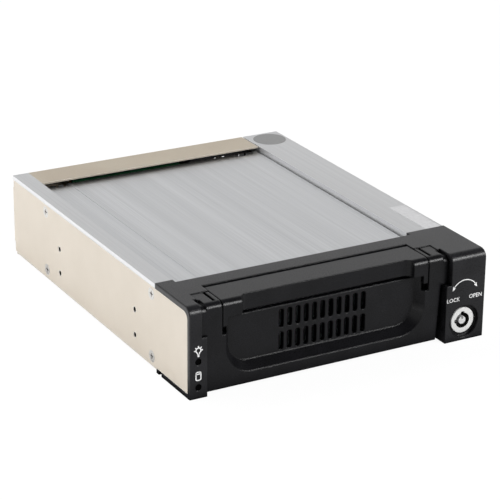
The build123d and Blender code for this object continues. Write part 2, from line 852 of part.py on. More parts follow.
with BuildPart() as tray_body:
    with BuildSketch(front_plane(tray_body_front)):
        rectangle(tray_x - tray_half, tray_x + tray_half, tray_floor, wall_top)
        rectangle(tray_x - tray_inner_half, tray_x + tray_inner_half, tray_floor + tray_sheet, wall_top,
                  mode=Mode.SUBTRACT)
    extrude(amount=-(tray_body_rear - tray_body_front))
    block(tray_x - tray_inner_half, tray_x + tray_inner_half, tray_body_rear - tray_sheet, tray_body_rear,
          tray_floor, wall_top)
    for side in (-1, 1):
        low, high = sorted((tray_x + side * tray_inner_half, tray_x + side * (tray_inner_half - tab_width)))
        block(low, high, tray_body_front, tray_body_front + tab_length, wall_top - tab_sheet, wall_top)
        # Hook of the rear wall that stands in a notch of the cover
        hook_x = tray_x + side * cover_notch_x
        hook_left = hook_x - cover_hook_width / 2
        block(hook_left, hook_left + cover_hook_width, tray_body_rear - tray_sheet, tray_body_rear,
              wall_top, tray_top)
    with BuildSketch(front_plane(tray_body_rear - tray_sheet)):
        with Locations((board_x, plug_z)):
            Rectangle(plug_width + 2 * slide_gap, plug_height + 2 * slide_gap)
        with Locations((fan_x, fan_z)):
            with GridLocations(vent_pitch, 0, vents, 1):
                SlotOverall(vent_length, vent_width, rotation=90)
    extrude(amount=-tray_sheet, mode=Mode.SUBTRACT)
    with Locations((tray_x, drive_middle_hole_y, tray_floor + tray_sheet)):
        with GridLocations(drive_hole_pitch_x, drive_hole_pitch_y, 2, 2):
            Hole(drive_hole_r, depth=tray_sheet)
    with Locations(*[(x, y, wall_top) for x, y in tray_tab_points()]):
        Hole(screw_core_r, depth=tab_sheet)
    with Locations(*bezel_tab_planes()):
        CounterSinkHole(screw_hole_r, screw_head_r, depth=tray_sheet, counter_sink_angle=90)
save("tray_body", tray_body)

# Tray cover: an aluminium lid with a low rib along its left side and lips inside the walls
with BuildPart() as tray_cover:
    block(tray_x - tray_half, tray_x + tray_half, tray_body_front, tray_body_rear, wall_top, tray_top)
    for side in (-1, 1):
        lip_outer = tray_inner_half - seat_gap
        low, high = sorted((tray_x + side * lip_outer, tray_x + side * (lip_outer - tray_sheet)))
        block(low, high, tray_body_front + cover_lip_end, tray_back, wall_top - cover_lip_height, wall_top)
        notch_x = tray_x + side * cover_notch_x
        block(notch_x - cover_notch_width / 2, notch_x + cover_notch_width / 2,
              tray_body_rear - cover_notch_depth, tray_body_rear, wall_top, tray_top, mode=Mode.SUBTRACT)
    rib_left = tray_x - cover_rib_x
    block(rib_left, rib_left + cover_rib_width, tray_body_front, tray_body_rear, tray_top,
          tray_top + cover_rib_height)
    with Locations(*[(x, y, tray_top) for x, y in tray_tab_points()]):
        CounterSinkHole(screw_hole_r, screw_head_r, depth=tray_cover_sheet, counter_sink_angle=90)
save("tray_cover", tray_cover)

cover_screws = make_screws([Plane((x, y, tray_top)) for x, y in tray_tab_points()])
save("cover_screws", cover_screws)
tray_front_screws = make_screws(bezel_tab_planes())
save("tray_front_screws", tray_front_screws)


# Tray board, the connector that takes the drive, and the plug that meets the backplane
with BuildPart() as tray_board:
    block(board_x - board_width / 2, board_x + board_width / 2, tray_board_y, tray_back,
          tray_floor + tray_sheet, board_bottom + board_height - tray_board_drop)
save("tray_board", tray_board)

with BuildPart() as drive_connector:
    with BuildSketch(front_plane(tray_board_y)):
        with Locations((board_x, drive_connector_z)):
            Rectangle(drive_connector_width, drive_connector_height)
    extrude(amount=drive_connector_depth)
    with BuildSketch(front_plane(tray_board_y - drive_connector_depth)):
        with Locations((board_x, drive_connector_z)):
            Rectangle(drive_slot_width, drive_slot_height)
    extrude(amount=-drive_slot_depth, mode=Mode.SUBTRACT)
save("drive_connector", drive_connector)

with BuildPart() as tray_plug:
    plug_rear = backplane_y - socket_depth - moulding_gap
    with BuildSketch(front_plane(tray_back)):
        with Locations((board_x, plug_z)):
            Rectangle(plug_width, plug_height)
    extrude(amount=-(plug_rear - tray_back))
    with BuildSketch(front_plane(plug_rear)):
        with Locations((board_x, plug_z)):
            Rectangle(tongue_width, tongue_height)
    extrude(amount=-socket_depth)
save("tray_plug", tray_plug)


# Tray front: the black moulding with the finger pocket, the vents and the ears that carry the handle
with BuildPart() as tray_bezel:
    for half, bottom, top in (
        (tray_front_half, tray_front_bottom, ear_top),
        (ear_half, ear_bottom, ear_strip_top),
    ):
        with BuildSketch(Plane.YZ.offset(tray_x - half)) as slab:
            rectangle(tray_front, ear_strip_rear, bottom, top)
            fillet(slab.vertices().group_by(Axis.Y)[-1].sort_by(Axis.X)[0], radius=front_round)
        extrude(amount=2 * half)
    for side in (-1, 1):
        low, high = sorted((tray_x + side * tray_front_half, tray_x + side * (tray_front_half - tray_front_wall)))
        block(low, high, ear_strip_rear, tray_body_front - seat_gap, tray_front_bottom, tray_wall_top)
        low, high = sorted((tray_x + side * tray_front_half, tray_x + side * lug_inner))
        block(low, high, ear_strip_rear, ear_rear, ear_block_bottom, ear_top)
        low, high = sorted((tray_x + side * tray_front_half, tray_x + side * ear_main_half))
        block(low, high, ear_strip_rear, ear_rear, ear_ledge_bottom, ear_top)
        tab_outer = tray_inner_half - seat_gap
        low, high = sorted((tray_x + side * tab_outer, tray_x + side * (tab_outer - bezel_tab_sheet)))
        block(low, high, tray_body_front - bezel_tab_root, tray_body_front + bezel_tab_length, bezel_tab_low,
              bezel_tab_high)
        groove_inner = lug_inner + lug_width
        low, high = sorted((tray_x + side * groove_inner, tray_x + side * (groove_inner + lug_groove)))
        block(low, high, tray_front + lug_groove_setback, ear_rear, lug_groove_bottom, ear_top,
              mode=Mode.SUBTRACT)
        low, high = sorted((tray_x + side * lug_inner, tray_x + side * (lug_inner - leg_notch_width)))
        block(low, high, tray_front, tray_front + leg_notch_depth, leg_notch_bottom, apron_bottom,
              mode=Mode.SUBTRACT)
    block(tray_x - tray_front_half, tray_x + tray_front_half, ear_strip_rear, tray_body_front - seat_gap,
          tray_front_bottom, tray_front_bottom + tray_front_wall)
    block(tray_x - lug_inner, tray_x + lug_inner, tray_front, ear_strip_rear, apron_bottom - moulding_gap,
          bezel_top, mode=Mode.SUBTRACT)
    # The edge beside the lock block slants in below the ear
    with BuildSketch(front_plane(tray_front)):
        side_edge = tray_x + tray_front_half
        with BuildLine():
            Polyline(
                (side_edge - lock_side_slant_low, 0),
                (side_edge + cut_margin, 0),
                (side_edge + cut_margin, ear_bottom),
                (side_edge - lock_side_slant_high, ear_bottom),
                close=True,
            )
        make_face()
    extrude(amount=-(ear_strip_rear - tray_front), mode=Mode.SUBTRACT)
    # Finger pocket with sloping walls, and the vents through its back
    with BuildSketch(front_plane(tray_front)) as pocket:
        rectangle(tray_x - pocket_half, tray_x + pocket_half, pocket_bottom, bezel_top)
        fillet(pocket.vertices().group_by(Axis.Y)[0], radius=pocket_corner)
    extrude(amount=-pocket_depth, taper=pocket_slope, mode=Mode.SUBTRACT)
    block(tray_x - pocket_half, tray_x + pocket_half, pocket_rear, ear_strip_rear, pocket_back_top,
          bezel_top, mode=Mode.SUBTRACT)
    with BuildSketch(front_plane(pocket_rear)):
        with Locations((slot_middle_x, slot_middle_z)):
            with GridLocations(slot_pitch_x, slot_pitch_z, slots_across, 2):
                SlotOverall(slot_height, slot_width, rotation=90)
    extrude(amount=-(ear_strip_rear - pocket_rear), mode=Mode.SUBTRACT)
    # Bores of the handle pins, screw holes, and the slot that the lock cam turns into
    with Locations(Plane((tray_x, pivot_y, pivot_z), x_dir=(0, 1, 0), z_dir=(1, 0, 0))):
        Cylinder(pivot_pin_r + pin_gap, 2 * (lug_inner + lug_width), mode=Mode.SUBTRACT)
    with Locations(*bezel_tab_planes()):
        Hole(screw_core_r, depth=screw_length + seat_gap)
    block(opening_right - cam_pocket_depth, opening_right, cam_front - slide_gap, cam_rear + slide_gap,
          cam_slot_bottom, cam_sweep_top(opening_right - moulding_gap), mode=Mode.SUBTRACT)
save("tray_bezel", tray_bezel)


# Handle: a swing-up bar with a finger grip, on two short pins
with BuildPart() as handle:
    block(tray_x - handle_half, tray_x + handle_half, tray_front, handle_rear, handle_top - handle_plate,
          handle_top)
    block(tray_x - handle_half, tray_x + handle_half, tray_front, apron_rear, apron_bottom, handle_top)
    long_edges = handle.edges().filter_by(Axis.X).group_by(Axis.Z)[-1].sort_by(Axis.Y)
    fillet(long_edges[0], radius=front_round)
    fillet(long_edges[-1], radius=handle_rear_round)
    with BuildSketch(Plane.XY.offset(apron_bottom)) as grip:
        rectangle(grip_x - grip_half, grip_x + grip_half, tray_front - cut_margin, tray_front + grip_setback)
        fillet(grip.vertices().group_by(Axis.Y)[-1], radius=grip_corner)
    extrude(amount=bezel_top - apron_bottom, mode=Mode.SUBTRACT)
    for side in (-1, 1):
        low, high = sorted((tray_x + side * handle_half, tray_x + side * (handle_half - leg_width)))
        block(low, high, tray_front, tray_front + leg_depth, leg_bottom, apron_bottom)
        boss_middle = tray_x + side * (handle_half - pivot_boss_length / 2)
        with Locations(Plane((boss_middle, pivot_y, pivot_z), x_dir=(0, 1, 0), z_dir=(1, 0, 0))):
            Cylinder(pivot_boss_r, pivot_boss_length)
    with Locations(Plane((tray_x, pivot_y, pivot_z), x_dir=(0, 1, 0), z_dir=(1, 0, 0))):
        Cylinder(pivot_pin_r, body_width, mode=Mode.SUBTRACT)
save("handle", handle)

with BuildPart() as handle_pins:
    pin_length = pivot_boss_length + lug_width + handle_side_gap
    for side in (-1, 1):
        pin_middle = tray_x + side * (lug_inner + lug_width - pin_length / 2)
        with Locations(Plane((pin_middle, pivot_y, pivot_z), x_dir=(0, 1, 0), z_dir=(1, 0, 0))):
            Cylinder(pivot_pin_r, pin_length)
save("handle_pins", handle_pins)
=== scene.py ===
"""Finishes, prints and small fittings of the hot swap drive cage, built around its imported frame."""

import json
import logging
import math
from dataclasses import dataclass
from enum import Enum

import bmesh
import bpy
from bpy.types import ID, Material, Mesh, Node, NodeTree, Object
from mathutils import Matrix, Vector

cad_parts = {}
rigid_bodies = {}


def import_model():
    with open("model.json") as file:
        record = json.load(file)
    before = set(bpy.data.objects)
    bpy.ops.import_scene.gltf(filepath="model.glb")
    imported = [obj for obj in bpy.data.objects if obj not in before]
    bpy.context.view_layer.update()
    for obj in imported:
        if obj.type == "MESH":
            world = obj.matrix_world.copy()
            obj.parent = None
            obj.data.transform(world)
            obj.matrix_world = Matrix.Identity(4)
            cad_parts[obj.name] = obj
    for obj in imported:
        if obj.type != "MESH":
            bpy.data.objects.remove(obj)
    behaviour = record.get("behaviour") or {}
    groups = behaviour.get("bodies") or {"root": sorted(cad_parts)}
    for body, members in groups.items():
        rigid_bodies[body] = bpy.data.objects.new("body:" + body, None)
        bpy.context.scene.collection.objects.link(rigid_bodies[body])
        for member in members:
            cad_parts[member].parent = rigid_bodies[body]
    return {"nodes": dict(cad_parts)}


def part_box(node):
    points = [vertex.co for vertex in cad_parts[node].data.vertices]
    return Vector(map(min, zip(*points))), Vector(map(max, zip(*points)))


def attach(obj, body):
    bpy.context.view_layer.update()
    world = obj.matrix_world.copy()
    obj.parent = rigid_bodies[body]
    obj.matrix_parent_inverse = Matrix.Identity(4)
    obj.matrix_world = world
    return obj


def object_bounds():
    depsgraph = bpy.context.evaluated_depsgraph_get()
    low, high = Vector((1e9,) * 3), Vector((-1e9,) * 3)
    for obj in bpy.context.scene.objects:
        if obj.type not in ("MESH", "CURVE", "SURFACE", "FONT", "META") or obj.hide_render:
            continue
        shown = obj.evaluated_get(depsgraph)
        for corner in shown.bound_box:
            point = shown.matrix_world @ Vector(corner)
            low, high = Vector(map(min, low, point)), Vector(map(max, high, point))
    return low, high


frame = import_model()

MM = 0.001
NOISE_SPAN = (0.35, 0.65)  # nearly all of a noise lies in this range
EDGE_SPAN = (0.995, 0.93)  # cosine of the turn of a rounded normal, from the flat to the edge
WHITE = (1.0, 1.0, 1.0, 1.0)
LAMP_TARGET = Vector((0.0, 0.0, 0.02))
LETTER_WEIGHT = 0.012  # how far letters are thickened, as a share of their height
CAD_LOW, CAD_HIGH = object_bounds()
log = logging.getLogger("drive_cage")


class Facing(Enum):
    """Ways that a flat print can face."""

    FRONT = "front"
    UP = "up"


class Grain(Enum):
    """Directions that a brushed metal is brushed in, as factors on the noise along X, Y and Z."""

    ALONG_X = (0.04, 1.0, 1.0)
    ALONG_Y = (1.0, 0.006, 1.0)


class Axis(Enum):
    """Axes that a screw head can face along, by the name of their output."""

    X = "X"
    Y = "Y"
    Z = "Z"


class Reach(Enum):
    """Pieces that a lamp lights."""

    ALL = "all pieces"
    BRIGHT_METAL = "pieces of bright metal"
    OTHERS = "all the other pieces"


def put(name: str, data: ID) -> Object:
    """Make an object from its data and put it into the scene."""
    thing = bpy.data.objects.new(name, data)
    bpy.context.scene.collection.objects.link(thing)
    return thing


# ---- Node trees


class Nodes:
    """A node tree, and short calls that add nodes and links to it."""

    def __init__(self, tree: NodeTree) -> None:
        """Take over a tree."""
        self.tree = tree

    def add(self, kind: str, **settings: object) -> Node:
        """Add a node.

        Args:
            kind: Blender's name of the node type.
            settings: Properties of the node to set.

        Returns:
            The new node.
        """
        node = self.tree.nodes.new(kind)
        for key, value in settings.items():
            setattr(node, key, value)
        return node

    def join(self, source: Node, out: str, target: Node, into: str | int) -> None:
        """Link an output of one node to an input of another."""
        self.tree.links.new(source.outputs[out], target.inputs[into])

    def calculate(self, how: str, *values: tuple | float) -> Node:
        """Calculate with one or two values.

        Args:
            how: Blender's name of the operation.
            values: Node and output that give a value, or a plain number.

        Returns:
            The math node, whose output is "Value".
        """
        node = self.add("ShaderNodeMath", operation=how)
        for place, value in enumerate(values):
            if isinstance(value, tuple):
                self.join(*value, node, place)
            else:
                node.inputs[place].default_value = value
        return node

    def spread(self, source: Node, out: str, span: tuple, values: tuple, how: str = "LINEAR") -> Node:
        """Turn one range of a value into another.

        Args:
            source: Node that gives the value.
            out: Name of its output.
            span: Values where the range starts and ends.
            values: What they turn into.
            how: Blender's name of the way between them.

        Returns:
            The range node, whose output is "Result".
        """
        node = self.add("ShaderNodeMapRange", interpolation_type=how)
        for key, value in zip(("From Min", "From Max", "To Min", "To Max"), span + values):
            node.inputs[key].default_value = value
        self.join(source, out, node, "Value")
        return node

    def parts(self, source: Node, out: str) -> Node:
        """Split a vector into its X, Y and Z."""
        node = self.add("ShaderNodeSeparateXYZ")
        self.join(source, out, node, "Vector")
        return node


class Shader(Nodes):
    """One material with a Principled surface, and short calls that add its nodes."""

    def __init__(self, name: str) -> None:
        """Make an empty material with a name."""
        self.material = bpy.data.materials.new(name)
        self.material.use_nodes = True
        super().__init__(self.material.node_tree)
        self.tree.nodes.clear()
        self.surface = self.add("ShaderNodeBsdfPrincipled")
        self.join(self.surface, "BSDF", self.add("ShaderNodeOutputMaterial"), "Surface")
        self.place = self.add("ShaderNodeTexCoord")

    def noise(self, size: float, detail: float = 2.0, stretch: tuple = (1.0, 1.0, 1.0)) -> Node:
        """Add noise on the piece's own coordinates.

        Args:
            size: Size of its patches, in metres.
            detail: Number of finer layers.
            stretch: Factor on each axis; a small factor draws the patches out along that axis.

        Returns:
            The noise node, whose output is "Fac".
        """
        mapping = self.add("ShaderNodeMapping")
        mapping.inputs["Scale"].default_value = stretch
        self.join(self.place, "Object", mapping, "Vector")
        noise = self.add("ShaderNodeTexNoise")
        noise.inputs["Scale"].default_value = 1.0 / size
        noise.inputs["Detail"].default_value = detail
        self.join(mapping, "Vector", noise, "Vector")
        return noise

    def colour(self, source: Node) -> None:
        """Give the surface a colour."""
        self.join(source, "Color", self.surface, "Base Color")

    def rough(self, noise: Node, middle: float, spread: float) -> None:
        """Vary the roughness with a noise, to both sides of its middle value."""
        node = self.spread(noise, "Fac", NOISE_SPAN, (middle - spread, middle + spread))
        self.join(node, "Result", self.surface, "Roughness")

    def shades(self, factor: Node, out: str, dark: tuple, light: tuple) -> Node:
        """Turn a noise into a colour between two shades.

        Args:
            factor: Node that gives the noise.
            out: Name of its output.
            dark: Linear colour of the dark end.
            light: Linear colour of the light end.

        Returns:
            The ramp node, whose output is "Color".
        """
        ramp = self.add("ShaderNodeValToRGB")
        for stop, place, shade in zip(ramp.color_ramp.elements, NOISE_SPAN, (dark, light)):
            stop.position = place
            stop.color = (*shade, 1.0)
        self.join(factor, out, ramp, "Fac")
        return ramp

    def mix(self, factor: tuple | float, low: tuple, high: tuple) -> Node:
        """Mix two colours.

        Args:
            factor: Node and output that give the factor, or a plain number.
            low: Node and output of the first colour, or a linear colour.
            high: Node and output of the second colour, or a linear colour.

        Returns:
            The mix node, whose output is "Color".
        """
        node = self.add("ShaderNodeMixRGB")
        for key, value in (("Fac", factor), ("Color1", low), ("Color2", high)):
            if isinstance(value, float):
                node.inputs[key].default_value = value
            elif isinstance(value[0], Node):
                self.join(*value, node, key)
            else:
                node.inputs[key].default_value = (*value, 1.0)
        return node

    def relief(self, noise: Node, distance: float, edge: float) -> None:
        """Give the surface a relief and slightly rounded edges.

        Args:
            noise: Noise that gives the height, from 0 to 1.
            distance: Height of the relief, in metres.
            edge: Radius of the edges, in metres.
        """
        bump = self.add("ShaderNodeBump")
        bump.inputs["Distance"].default_value = distance
        self.join(noise, "Fac", bump, "Height")
        if edge > 0:
            rounded = self.add("ShaderNodeBevel", samples=4)
            rounded.inputs["Radius"].default_value = edge
            self.join(rounded, "Normal", bump, "Normal")
        self.join(bump, "Normal", self.surface, "Normal")

    def near_edge(self, radius: float) -> Node:
        """Give the range node whose "Result" is 1 close to the piece's edges, over a radius in metres."""
        rounded = self.add("ShaderNodeBevel", samples=8)
        rounded.inputs["Radius"].default_value = radius
        flat = self.add("ShaderNodeNewGeometry")
        turn = self.add("ShaderNodeVectorMath", operation="DOT_PRODUCT")
        self.join(rounded, "Normal", turn, 0)
        self.join(flat, "True Normal", turn, 1)
        return self.spread(turn, "Value", EDGE_SPAN, (0.0, 1.0))

    def set(self, **values: float) -> None:
        """Set plain values on the Principled surface; an underscore stands for a space."""
        for key, value in values.items():
            self.surface.inputs[key.replace("_", " ")].default_value = value


@dataclass(frozen=True)
class MouldedPlastic:
    """Fine-textured moulded plastic, with painted shade that darkens its colour in crevices and hollows."""

    name: str
    dark: tuple
    light: tuple
    roughness: float = 0.3
    grain: float = 0.4 * MM
    relief: float = 0.009 * MM
    edge: float = 0.8 * MM
    shine: float = 0.34
    patch: float = 9 * MM
    # Reach and strength of the painted shade in crevices.
    painted_shade_reach: float = 3.0 * MM
    painted_shade_share: float = 0.1
    spread: float = 0.05

    def build(self) -> Material:
        """Make the material."""
        shader = Shader(self.name)
        cloud = shader.noise(self.patch, 3.0)
        plain = shader.shades(cloud, "Fac", self.dark, self.light)
        # Painted shade: ambient occlusion darkens the colour towards a small share of the dark shade in crevices and
        # hollows.
        occlusion = shader.add("ShaderNodeAmbientOcclusion", samples=8)
        occlusion.inputs["Distance"].default_value = self.painted_shade_reach
        deep = tuple(self.painted_shade_share * c for c in self.dark)
        shader.colour(shader.mix((occlusion, "AO"), deep, (plain, "Color")))
        grain = shader.noise(self.grain, 2.0)
        shader.rough(grain, self.roughness, self.spread)
        shader.set(Specular_IOR_Level=self.shine, IOR=1.49)
        shader.relief(grain, self.relief, self.edge)
        return shader.material


@dataclass(frozen=True)
class BrushedMetal:
    """Metal with fine brushing in one direction, in broad and narrow streaks."""

    name: str
    dark: tuple
    light: tuple
    brushing: Grain
    roughness: float = 0.36
    metallic: float = 0.9
    streak: float = 0.5 * MM
    edge: float = 0.15 * MM
    spread: float = 0.04
    relief: float = 0.006 * MM
    broad: float = 8.0
    fine_share: float = 0.6

    def build(self) -> Material:
        """Make the material."""
        shader = Shader(self.name)
        stretch = self.brushing.value
        broad = shader.noise(self.broad * self.streak, 2.0, stretch)
        fine = shader.noise(self.streak, 4.0, stretch)
        tone = shader.mix(self.fine_share, (broad, "Fac"), (fine, "Fac"))
        shader.colour(shader.shades(tone, "Color", self.dark, self.light))
        shader.rough(fine, self.roughness, self.spread)
        shader.set(Metallic=self.metallic)
        shader.relief(fine, self.relief, self.edge)
        return shader.material


@dataclass(frozen=True)
class ScrewHead:
    """Satin screw steel, with painted shade that turns its colour near-black inside the slot of the head."""

    name: str
    axis: Axis
    level: float
    pale: tuple = (0.74, 0.72, 0.69)
    painted_slot_shade: tuple = (0.03, 0.03, 0.03)
    wear: float = 0.85
    speck: float = 0.5 * MM
    roughness: float = 0.36
    spread: float = 0.06
    metallic: float = 0.45
    relief: float = 0.005 * MM
    edge: float = 0.1 * MM

    def build(self) -> Material:
        """Make the material."""
        shader = Shader(self.name)
        place = shader.parts(shader.place, "Object")
        reach = shader.calculate("ABSOLUTE", (place, self.axis.value))
        # Painted shade: deeper than the level along the axis, the colour turns near-black.
        deep = shader.calculate("LESS_THAN", (reach, "Value"), self.level)
        wear = shader.noise(self.speck, 3.0)
        pale = shader.shades(wear, "Fac", tuple(self.wear * c for c in self.pale), self.pale)
        shader.colour(shader.mix((deep, "Value"), (pale, "Color"), self.painted_slot_shade))
        shader.rough(wear, self.roughness, self.spread)
        shader.set(Metallic=self.metallic)
        shader.relief(wear, self.relief, self.edge)
        return shader.material


@dataclass(frozen=True)
class PaintedSheet:
    """Painted sheet steel with a faint orange peel, lighter along its edges: partly worn paint, partly a painted
    highlight where the edges catch the light.
    """

    name: str
    dark: tuple
    light: tuple
    worn: tuple
    roughness: float = 0.5
    spread: float = 0.05
    patch: float = 24 * MM
    edge: float = 0.5 * MM
    peel: float = 0.6 * MM
    relief: float = 0.01 * MM
    rounding: float = 0.15 * MM

    def build(self) -> Material:
        """Make the material."""
        shader = Shader(self.name)
        cloud = shader.noise(self.patch, 3.0)
        paint = shader.shades(cloud, "Fac", self.dark, self.light)
        # Lighter colour near the edges: partly wear, partly a painted highlight along the edges.
        shader.colour(shader.mix((shader.near_edge(self.edge), "Result"), (paint, "Color"), self.worn))
        peel = shader.noise(self.peel, 2.0)
        shader.rough(peel, self.roughness, self.spread)
        shader.relief(peel, self.relief, self.rounding)
        return shader.material


@dataclass(frozen=True)
class LockRing:
    """Pale ring of the lock, with painted shade inside its keyway and behind its front face."""

    name: str
    centre: tuple
    keyway_radius: float
    face_back: float
    pale: tuple = (0.8, 0.8, 0.79)
    dark: tuple = (0.006, 0.006, 0.006)
    wear: float = 0.93
    speck: float = 1.2 * MM
    roughness: float = 0.4
    relief: float = 0.01 * MM
    edge: float = 0.1 * MM

    def build(self) -> Material:
        """Make the material."""
        shader = Shader(self.name)
        offset = shader.add("ShaderNodeVectorMath", operation="SUBTRACT")
        offset.inputs[1].default_value = (self.centre[0], 0.0, self.centre[1])
        shader.join(shader.place, "Object", offset, 0)
        flat = shader.add("ShaderNodeVectorMath", operation="MULTIPLY")
        flat.inputs[1].default_value = (1.0, 0.0, 1.0)
        shader.join(offset, "Vector", flat, 0)
        radius = shader.add("ShaderNodeVectorMath", operation="LENGTH")
        shader.join(flat, "Vector", radius, 0)
        # Painted shade: inside the keyway and behind the front face the colour turns near-black.
        inside = shader.calculate("LESS_THAN", (radius, "Value"), self.keyway_radius)
        place = shader.parts(shader.place, "Object")
        behind = shader.calculate("GREATER_THAN", (place, "Y"), self.face_back)
        painted_shade_mask = shader.calculate("MAXIMUM", (inside, "Value"), (behind, "Value"))
        wear = shader.noise(self.speck, 2.0)
        pale = shader.shades(wear, "Fac", tuple(self.wear * c for c in self.pale), self.pale)
        shader.colour(shader.mix((painted_shade_mask, "Value"), (pale, "Color"), self.dark))
        shader.set(Roughness=self.roughness)
        shader.relief(wear, self.relief, self.edge)
        return shader.material


@dataclass(frozen=True)
class Ink:
    """Printed ink or a paper label: matt, slightly uneven."""

    name: str
    colour: tuple
    roughness: float = 0.55
    spread: float = 0.05
    speck: float = 1.5 * MM
    worn: float = 0.9

    def build(self) -> Material:
        """Make the material."""
        shader = Shader(self.name)
        cloud = shader.noise(self.speck, 3.0)
        dark = tuple(self.worn * c for c in self.colour)
        shader.colour(shader.shades(cloud, "Fac", dark, self.colour))
        shader.rough(cloud, self.roughness, self.spread)
        return shader.material


BLACK = MouldedPlastic("black_plastic", (0.011, 0.011, 0.0125), (0.016, 0.016, 0.018))
TRAY_BLACK = MouldedPlastic("tray_black_plastic", (0.004, 0.004, 0.005), (0.006, 0.006, 0.0075))
# Painted shade: near-black and hardly reflecting, for the bushes that darken the bay holes.
BUSH_PAINTED_SHADE = MouldedPlastic("bush_black", (0.002, 0.002, 0.002), (0.004, 0.004, 0.004), roughness=0.6,
                            edge=0.0, shine=0.1)
RUNNER = MouldedPlastic("runner_plastic", (0.02, 0.02, 0.02), (0.035, 0.035, 0.035), roughness=0.35)
CONNECTOR = MouldedPlastic("connector_plastic", (0.02, 0.02, 0.022), (0.04, 0.04, 0.042), roughness=0.45,
                           edge=0.1 * MM)
BOARD = MouldedPlastic("circuit_board", (0.006, 0.055, 0.022), (0.012, 0.085, 0.035), roughness=0.32,
                       edge=0.0)
LENS = MouldedPlastic("smoked_lens", (0.001, 0.001, 0.001), (0.002, 0.002, 0.002), roughness=0.6,
                      relief=0.0, edge=0.1 * MM, shine=0.02)
TRAY_METAL = BrushedMetal("tray_aluminium", (0.66, 0.67, 0.685), (0.85, 0.86, 0.875), Grain.ALONG_Y,
                          edge=0.06 * MM)
RAIL_METAL = BrushedMetal("rail_aluminium", (0.71, 0.715, 0.725), (0.81, 0.815, 0.825), Grain.ALONG_Y,
                          metallic=0.6)
SCREW_METAL = BrushedMetal("plain_steel", (0.42, 0.41, 0.4), (0.62, 0.61, 0.6), Grain.ALONG_X,
                           streak=0.4 * MM, roughness=0.3)
DARK_METAL = BrushedMetal("black_steel", (0.01, 0.01, 0.01), (0.02, 0.02, 0.02), Grain.ALONG_X,
                          streak=0.4 * MM, metallic=0.3)
CORE_METAL = BrushedMetal("lock_core_metal", (0.7, 0.7, 0.7), (0.85, 0.85, 0.85), Grain.ALONG_X,
                          streak=0.5 * MM, roughness=0.35, metallic=0.2)
BRASS = BrushedMetal("brass", (0.5, 0.34, 0.12), (0.7, 0.5, 0.2), Grain.ALONG_X, streak=0.4 * MM)
GOLD = BrushedMetal("gold_plate", (0.7, 0.45, 0.15), (0.9, 0.65, 0.3), Grain.ALONG_X, streak=0.3 * MM,
                    edge=0.0)
# The third colour of each paint is its lighter edge, partly wear and partly painted highlight.
PANEL_PAINT = PaintedSheet("panel_paint", (0.73, 0.66, 0.565), (0.765, 0.695, 0.6), (0.93, 0.92, 0.89))
REAR_PAINT = PaintedSheet("rear_paint", (0.5, 0.43, 0.34), (0.53, 0.465, 0.37), (0.76, 0.72, 0.64))
PRINT = Ink("white_ink", (0.95, 0.95, 0.95))
LABEL = Ink("paper_label", (0.7, 0.7, 0.71))
STICKER = Ink("grey_sticker", (0.3, 0.3, 0.3))
BRIGHT_METAL = (TRAY_METAL, RAIL_METAL)


class Paintbox:
    """Makes each finish's material once and hands it out."""

    def __init__(self) -> None:
        """Start with no materials."""
        self.made = {}

    def material(self, finish: object) -> Material:
        """Give the material of a finish."""
        if finish.name not in self.made:
            self.made[finish.name] = finish.build()
        return self.made[finish.name]

    def paint(self, piece: Object, finish: object) -> None:
        """Cover a whole piece with one finish."""
        piece.data.materials.clear()
        piece.data.materials.append(self.material(finish))

    def dress(self, finish: object, *nodes: str) -> None:
        """Cover nodes of the frame with one finish."""
        for node in nodes:
            self.paint(frame["nodes"][node], finish)
            log.info("dressed %s in %s", node, finish.name)


# ---- Flat prints


def new_piece(name: str, mesh: Mesh, body: str) -> Object:
    """Put a finished mesh into the scene.

    Args:
        name: Name of the piece.
        mesh: Its mesh, in the frame's own place.
        body: Body that it rides on.

    Returns:
        The new object.
    """
    piece = put(name, mesh)
    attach(piece, body)
    log.info("made %s on %s with %d faces", name, body, len(mesh.polygons))
    return piece


